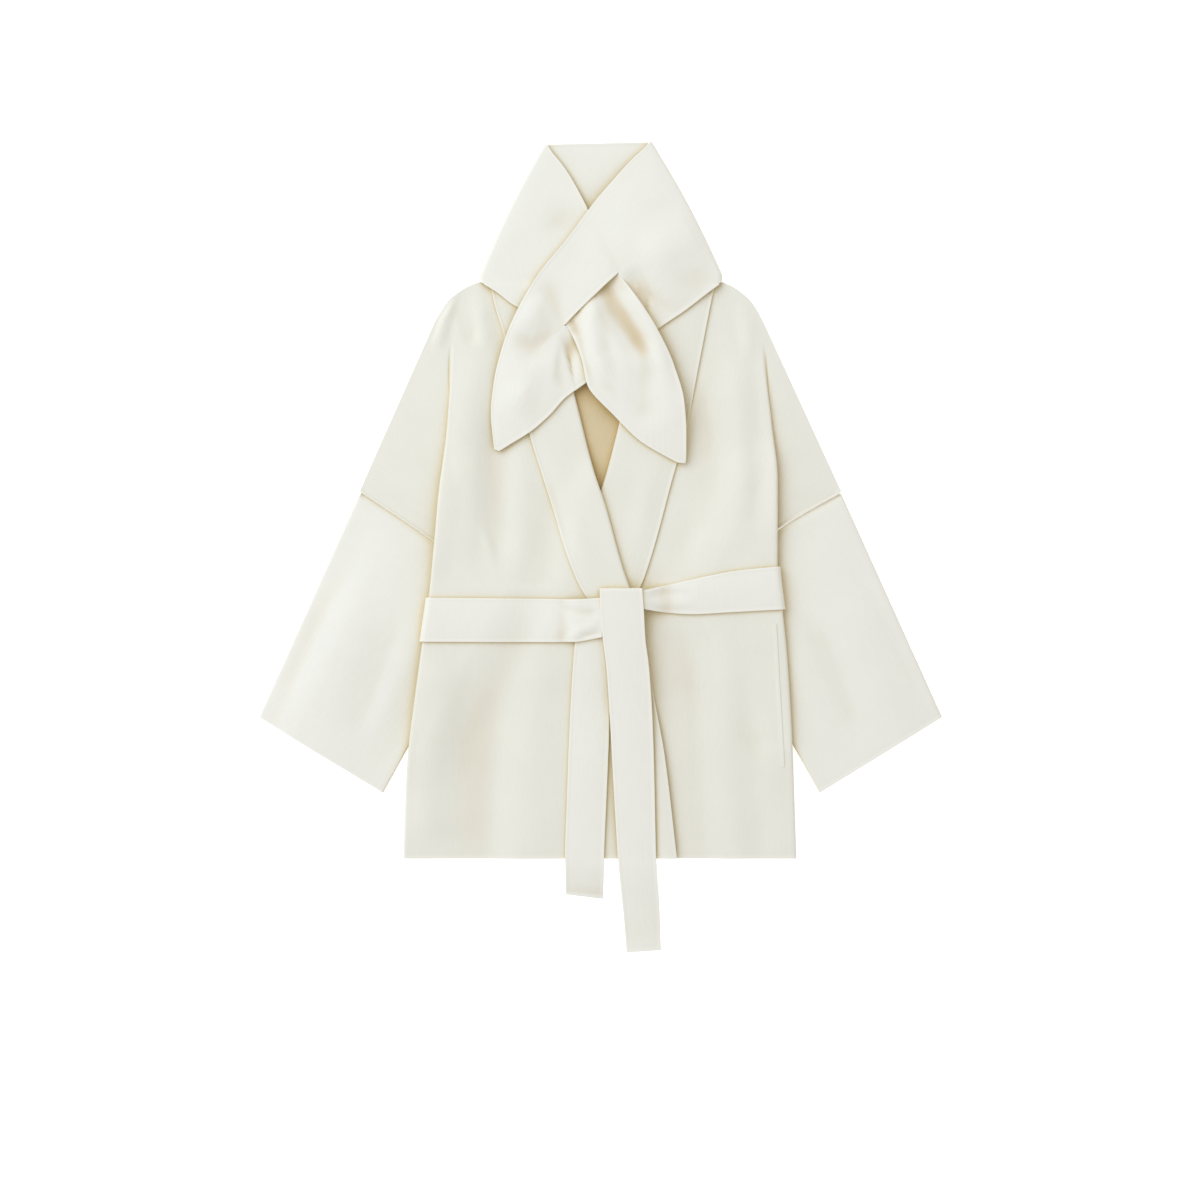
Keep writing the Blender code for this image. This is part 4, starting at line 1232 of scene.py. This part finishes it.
def neck_roll(section, shares):
    """The roll at a neck fold, from the level of the back up to the first section."""
    a = Vector((section.x1, section.y1, 0))
    b = Vector((section.x2, section.y2, 0))
    away = fold_away(section)
    steps = 8
    rows = []
    for k in range(steps + 1):
        angle = -math.pi / 2 + math.pi * k / steps
        row = []
        for share in shares:
            radius = (mix(section.z1, section.z2, share) - BACK_MID) / 2
            bulge = NECK_BULGE * math.sin(math.pi * share) - corner(share)
            p = a.lerp(b, share) + away * (radius * math.cos(angle) - radius - CLOTH / 2 + bulge)
            row.append((p.x, p.y, BACK_MID + radius + radius * math.sin(angle)))
        rows.append(row)
    return rows


def scarf_row(section, shares, table, seed):
    """The points across a scarf half at one section, with its creases, never below what it lies on."""
    row = []
    for share in shares:
        x = mix(section.x1, section.x2, share)
        y = mix(section.y1, section.y2, share)
        z = mix(section.z1, section.z2, share) + section.bow * math.sin(math.pi * share)
        z += creases(table, x, y) + unevenness(x, y, seed, size=60.0, height=0.6)
        row.append((x, y, higher(z, scarf_seat(x, y), 1.0)))
    return row


def neck_bulge(section, u, row):
    """Carries the neck roll's bulge a little way along the scarf."""
    away = fold_away(section) * (NECK_BULGE * soft(1 - u / BULGE_RUN))
    last = len(row) - 1
    moved = []
    for k, (x, y, z) in enumerate(row):
        out = math.sin(math.pi * k / last)
        moved.append((x + away.x * out, y + away.y * out, z))
    return moved


class COAT_OT_scarf(bpy.types.Operator):
    """The scarf collar: its back, its right half with the slit, and its left half drawn through it"""

    bl_idname = "coat.scarf"
    bl_label = "Scarf collar"

    def execute(self, context):
        self.back()
        self.left_half()
        self.right_half()
        return {"FINISHED"}

    def back(self):
        """The flat part between the two neck rolls, down to the neck seam."""
        lean = abs(fold_away(SCARF_LEFT[0]).x)
        bottom = NECK_Y + SEAM
        rows = []
        for v in stops(186, step_mm(), dense_start=True):
            ends = []
            for section, inward in ((SCARF_LEFT[0], 1), (SCARF_RIGHT[0], -1)):
                inset = ((mix(section.z1, section.z2, v) - BACK_MID) / 2 + CLOTH / 2) / lean + 2 * SEAM
                ends.append((mix(section.x1, section.x2, v) + inward * inset, mix(section.y1, bottom, v)))
            (left, y_left), (right, y_right) = ends
            row = []
            for t in stops(200, step_mm()):
                row.append((mix(left, right, t), mix(y_left, y_right, t), BACK_MID))
            rows.append(row)
        bm = cloth_mesh(rows, lambda j, gaps: gaps.top)
        cloth_piece("scarf_back", bm, wool("brushed wool"))

    def left_half(self):
        """The half that goes under the right one and comes out of its slit."""
        curve = ScarfCurve(SCARF_LEFT)
        shares = edge_to_edge(150, 4.0)
        rows = neck_roll(SCARF_LEFT[0], shares)
        for k in range(1, SCARF_LEFT_ROWS + 1):
            u = mix(ROLL_CLEAR, curve.last, k / SCARF_LEFT_ROWS)
            row = scarf_row(curve.at(u), shares, SCARF_LEFT_CREASES, 21.0)
            rows.append(neck_bulge(SCARF_LEFT[0], u, row))
        bm = cloth_mesh(rows, lambda j, gaps: min(gaps.start, gaps.end, gaps.bottom), reach=7)
        cloth_piece("scarf_left", bm, wool("brushed wool"))

    def right_half(self):
        """Two halves of the width that join except along the slit, whose upper lip stands up."""
        curve = ScarfCurve(SCARF_RIGHT)
        upper_shares = [share / 2 for share in edge_to_edge(88, 4.0)]
        lower_shares = [0.5 + share for share in upper_shares]
        shares = upper_shares + lower_shares[1:]
        middle = len(upper_shares) - 1
        upper_rows = []
        lower_rows = []
        for row in neck_roll(SCARF_RIGHT[0], shares):
            upper_rows.append(row[: middle + 1])
            lower_rows.append(row[middle:])
        mouths = [0.0] * len(upper_rows)
        for k in range(1, SCARF_RIGHT_ROWS + 1):
            u = mix(ROLL_CLEAR, curve.last, k / SCARF_RIGHT_ROWS)
            row = scarf_row(curve.at(u), shares, SCARF_RIGHT_CREASES, 33.0)
            row = neck_bulge(SCARF_RIGHT[0], u, row)
            mouth = 0.0
            if SLIT_FROM < u < SLIT_TO:
                mouth = math.sin(math.pi * (u - SLIT_FROM) / (SLIT_TO - SLIT_FROM)) ** SLIT_ROUND
            mouths.append(mouth)
            drop = LOWER_LIP * soft((u - SLIT_FROM) / LOWER_LIP_START) * soft((SLIT_TO - u) / LOWER_LIP_END)
            upwards = Vector((row[0][0] - row[-1][0], row[0][1] - row[-1][1])).normalized()
            upper = []
            lower = []
            for share, (x, y, z) in zip(shares, row):
                away = abs(share - 0.5)
                near = soft(1 - away / 0.5)
                if share <= 0.5:
                    pull = upwards * (SLIT_GAP * mouth * max(0.0, 1 - away / UPPER_LIP_WIDTH))
                    upper.append((x + pull.x, y + pull.y, z + UPPER_LIP * mouth * near))
                if share >= 0.5:
                    hang = upwards * (LIP_SAG * mouth * soft(1 - away / LIP_SAG_WIDTH))
                    lower.append((x - hang.x, y - hang.y, z - drop * near))
            upper_rows.append(upper)
            lower_rows.append(lower)

        def sewn_upper(j, gaps):
            return min(gaps.start, gaps.bottom, gaps.end if mouths[j] > SLIT_OPEN else FAR)

        def sewn_lower(j, gaps):
            return min(gaps.end, gaps.bottom, gaps.start if mouths[j] > SLIT_OPEN else FAR)

        bm = cloth_mesh(upper_rows, sewn_upper, reach=7)
        other = cloth_mesh(lower_rows, sewn_lower, reach=7)
        spare = bpy.data.meshes.new("scarf lower half")
        other.to_mesh(spare)
        other.free()
        bm.from_mesh(spare)
        bpy.data.meshes.remove(spare)
        bmesh.ops.remove_doubles(bm, verts=bm.verts, dist=0.02 * MM)
        cloth_piece("scarf_right", bm, wool("brushed wool"))


def belt_over(side, out):
    """The belt's extra rise near the knot, over the lapel and the short end."""
    knot = KNOT[side]
    return knot.rise * soft((knot.out - out) / knot.run)


class COAT_OT_belt(bpy.types.Operator):
    """The tie belt across the back, over each front and round the side folds"""

    bl_idname = "coat.belt"
    bl_label = "Belt"

    def execute(self, context):
        rows = []
        for share in edge_to_edge(56, step_mm()):
            row = []
            for t in stops(264, 1.4 * step_mm()):
                x = mix(BELT_BACK_FROM, BELT_BACK_TO, t)
                row.append((x, belt_line(x) + BELT_HALF * (1 - 2 * share), BELT_CLOTH / 2))
            rows.append(row)
        bm = cloth_mesh(rows, lambda j, gaps: min(gaps.top, gaps.bottom))
        material = wool("brushed belt wool", turn=math.pi / 2)
        cloth_piece("belt_back", bm, material, BELT_CLOTH)
        for side, name in ((LEFT, "belt_left"), (RIGHT, "belt_right")):
            bm = cloth_mesh(self.side_rows(side), lambda j, gaps: min(gaps.top, gaps.bottom))
            cloth_piece(name, bm, material, BELT_CLOTH)
        return {"FINISHED"}

    def side_rows(self, side):
        """The points of the belt over one front, round its side fold and a little way back under it."""
        lift = CLOTH / 2 + LAY + BELT_CLOTH / 2
        radius = FOLD_RADIUS + lift
        first = BELT[side][0].x
        last = BELT[side][-1]
        turn_steps = 10
        rows = []
        for share in edge_to_edge(54, 4.0):
            fold = side_fold[side](mix(last.top, last.bottom, share))
            bend_at = fold - FOLD_RADIUS - CLOTH / 2
            row = []
            for t in stops(220, 4.0):
                out = mix(first, bend_at, t)
                y = mix(belt_top[side](out), belt_bottom[side](out), share)
                z = panel_height(side, out, y) + lift + belt_over(side, out)
                crown = BELT_CROWN * math.sin(math.pi * share)
                lie = creases(BELT_CREASES, side * out, y) + unevenness(side * out, y, 41.0, 45.0, 0.4)
                row.append((out, y, z + crown + max(lie, -BELT_TROUGH_LIMIT)))
            out, y, z = row[-1]
            for k in range(1, turn_steps + 1):
                angle = math.pi / 2 - math.pi * k / turn_steps
                row.append((out + radius * math.cos(angle), y, z - radius + radius * math.sin(angle)))
            out, y, z = row[-1]
            for k in (1, 2, 3):
                row.append((out - BELT_RETURN * k / 3, y, z - 0.2 * k / 3))
            rows.append([(side * out, y, z) for out, y, z in row])
        return rows


class COAT_OT_belt_ends(bpy.types.Operator):
    """The half knot and the two free belt ends, which lie on the left front and pass its hem"""

    bl_idname = "coat.belt_ends"
    bl_label = "Belt ends"

    def execute(self, context):
        material = wool("brushed belt end wool")
        for name, table, cut in (
            ("belt_tail_short", SHORT_TAIL, (0.05, 0.36, 0.017)),
            ("belt_tail_long", LONG_TAIL, (0.056, 0.5, 0.0252)),
        ):
            knotted = table is LONG_TAIL
            rows = self.rows(table, knotted)
            bm = cloth_mesh(rows, lambda j, gaps: min(gaps.start, gaps.end, gaps.bottom))
            cloth_piece(name, bm, material, BELT_CLOTH)
        return {"FINISHED"}

    def rows(self, table, knotted):
        """The points of a free end from its top down; the long one's top edge is turned over."""
        curves = [smooth_curve([-t.y for t in table], column) for column in zip(*table)]
        grid = []
        for at in heights(table[0].y, table[-1].y, 4.0, dense_bottom=True):
            tail = Tail(*(curve(-at) for curve in curves))
            row = []
            for share in edge_to_edge(50, 4.0):
                x = mix(tail.left, tail.right, share)
                y = tail.y + tail.slant * (0.5 - share)
                crown = TAIL_CROWN * math.sin(math.pi * share)
                row.append((x, y, self.height(x, y, knotted) + crown))
            grid.append(row)
        if not knotted:
            return grid
        steps = 9
        roll = []
        for k in range(steps, 0, -1):
            angle = math.pi / 2 + math.pi * k / steps
            fall = -TAIL_ROLL + TAIL_ROLL * math.sin(angle)
            roll.append([(x, y - TAIL_ROLL * math.cos(angle), z + fall) for x, y, z in grid[0]])
        return roll + grid

    def height(self, x, y, knotted):
        """A free end lies on the left front, then runs down over the hem to the floor."""
        rest = panel_height(LEFT, -x, max(y, HEM_Y)) + CLOTH / 2 + LAY + BELT_CLOTH / 2
        if knotted:
            rest = higher(rest, long_tail_crest(y), 1.0)
        lie = unevenness(x, y, 51.0, 50.0, 0.5)
        drop = LONG_DROP if knotted else SHORT_DROP
        return mix(rest + lie, BELT_CLOTH / 2, soft((HEM_Y - DROP_START - y) / drop))


class COAT_OT_pocket(bpy.types.Operator):
    """The narrow sewn edge beside the pocket slit, on the right front's points moved out"""

    bl_idname = "coat.pocket"
    bl_label = "Pocket edge"

    def execute(self, context):
        lift = CLOTH / 2 - POCKET_CLOTH / 2 + LAY
        rows = []
        for t in edge_to_edge(187, 3.0):
            y = mix(POCKET_FROM[0], POCKET_TO[0], t)
            middle = mix(POCKET_FROM[1], POCKET_TO[1], t)
            row = []
            for share in POCKET_ACROSS:
                out = middle + share * POCKET_WIDTH
                sunk = soft((0.4 - share) / 0.8)
                row.append((out, y, panel_height(RIGHT, out, y) + lift - sunk))
            rows.append(row)
        bm = cloth_mesh(rows)
        cloth_piece("pocket_welt_right", bm, body_wool(), POCKET_CLOTH)
        return {"FINISHED"}


class COAT_OT_stage(bpy.types.Operator):
    """A pale floor, soft light from the upper left and a camera straight above"""

    bl_idname = "coat.stage"
    bl_label = "Stage"

    def execute(self, context):
        stage = context.scene.coat_stage
        context.scene.view_settings.view_transform = "Standard"
        self.floor(stage)
        self.lights(context, stage)
        lens = bpy.data.cameras.new("camera above")
        lens.lens = stage.lens
        lens.clip_end = 50.0
        camera = bpy.data.objects.new("camera above", lens)
        camera.location = (stage.camera_x, stage.camera_y, stage.camera_height)
        context.scene.collection.objects.link(camera)
        context.scene.camera = camera
        return {"FINISHED"}

    def floor(self, stage):
        bm = bmesh.new()
        bmesh.ops.create_grid(bm, x_segments=4, y_segments=4, size=FLOOR_HALF)
        mesh = bpy.data.meshes.new("floor")
        bm.to_mesh(mesh)
        bm.free()
        material = bpy.data.materials.new("matt white paper")
        material.use_nodes = True
        tree = material.node_tree
        shader = tree.nodes["Principled BSDF"]
        shader.inputs["Roughness"].default_value = 0.95
        shader.inputs["Base Color"].default_value = (*stage.floor, 1)
        shader.inputs["Emission Color"].default_value = (1, 1, 1, 1)
        shader.inputs["Emission Strength"].default_value = 0.5
        mesh.materials.append(material)
        floor = bpy.data.objects.new("floor", mesh)
        bpy.context.scene.collection.objects.link(floor)

    def lights(self, context, stage):
        light = bpy.data.lights.new("large light at the upper left", "AREA")
        light.energy = stage.key_power
        light.shape = "DISK"
        light.size = KEY_SIZE
        light.color = linear("eaf4ff")
        key = bpy.data.objects.new("large light at the upper left", light)
        key.location = KEY_PLACE
        aim = Vector(KEY_AIM) - key.location
        key.rotation_euler = aim.to_track_quat("-Z", "Y").to_euler()
        context.scene.collection.objects.link(key)
        world = bpy.data.worlds.new("even studio light")
        world.use_nodes = True
        sky = world.node_tree.nodes["Background"]
        sky.inputs["Color"].default_value = (*linear("fdfaf3"), 1)
        sky.inputs["Strength"].default_value = stage.sky
        context.scene.world = world


class COAT_PT_sidebar(bpy.types.Panel):
    """Lists the coat's pieces and its stage"""

    bl_label = "Robe coat"
    bl_idname = "COAT_PT_sidebar"
    bl_space_type = "VIEW_3D"
    bl_region_type = "UI"
    bl_category = "Robe coat"

    def draw(self, context):
        for settings in (context.scene.coat_cloth, context.scene.coat_stage):
            for key in settings.__annotations__:
                self.layout.prop(settings, key)
        for operator in OPERATORS:
            self.layout.operator(operator.bl_idname)


OPERATORS = (
    COAT_OT_stage,
    COAT_OT_back,
    COAT_OT_sleeves,
    COAT_OT_fronts,
    COAT_OT_lapels,
    COAT_OT_scarf,
    COAT_OT_belt,
    COAT_OT_belt_ends,
    COAT_OT_pocket,
)
CLASSES = (CoatCloth, CoatStage, *OPERATORS, COAT_PT_sidebar)


def register():
    for cls in CLASSES:
        bpy.utils.register_class(cls)
    bpy.types.Scene.coat_cloth = bpy.props.PointerProperty(type=CoatCloth)
    bpy.types.Scene.coat_stage = bpy.props.PointerProperty(type=CoatStage)


def unregister():
    del bpy.types.Scene.coat_stage
    del bpy.types.Scene.coat_cloth
    for cls in reversed(CLASSES):
        bpy.utils.unregister_class(cls)


def main():
    register()
    bpy.ops.coat.stage()
    bpy.ops.coat.back()
    bpy.ops.coat.sleeves()
    bpy.ops.coat.fronts()
    bpy.ops.coat.lapels()
    bpy.ops.coat.scarf()
    bpy.ops.coat.belt()
    bpy.ops.coat.belt_ends()
    bpy.ops.coat.pocket()


if __name__ == "__main__":
    main()
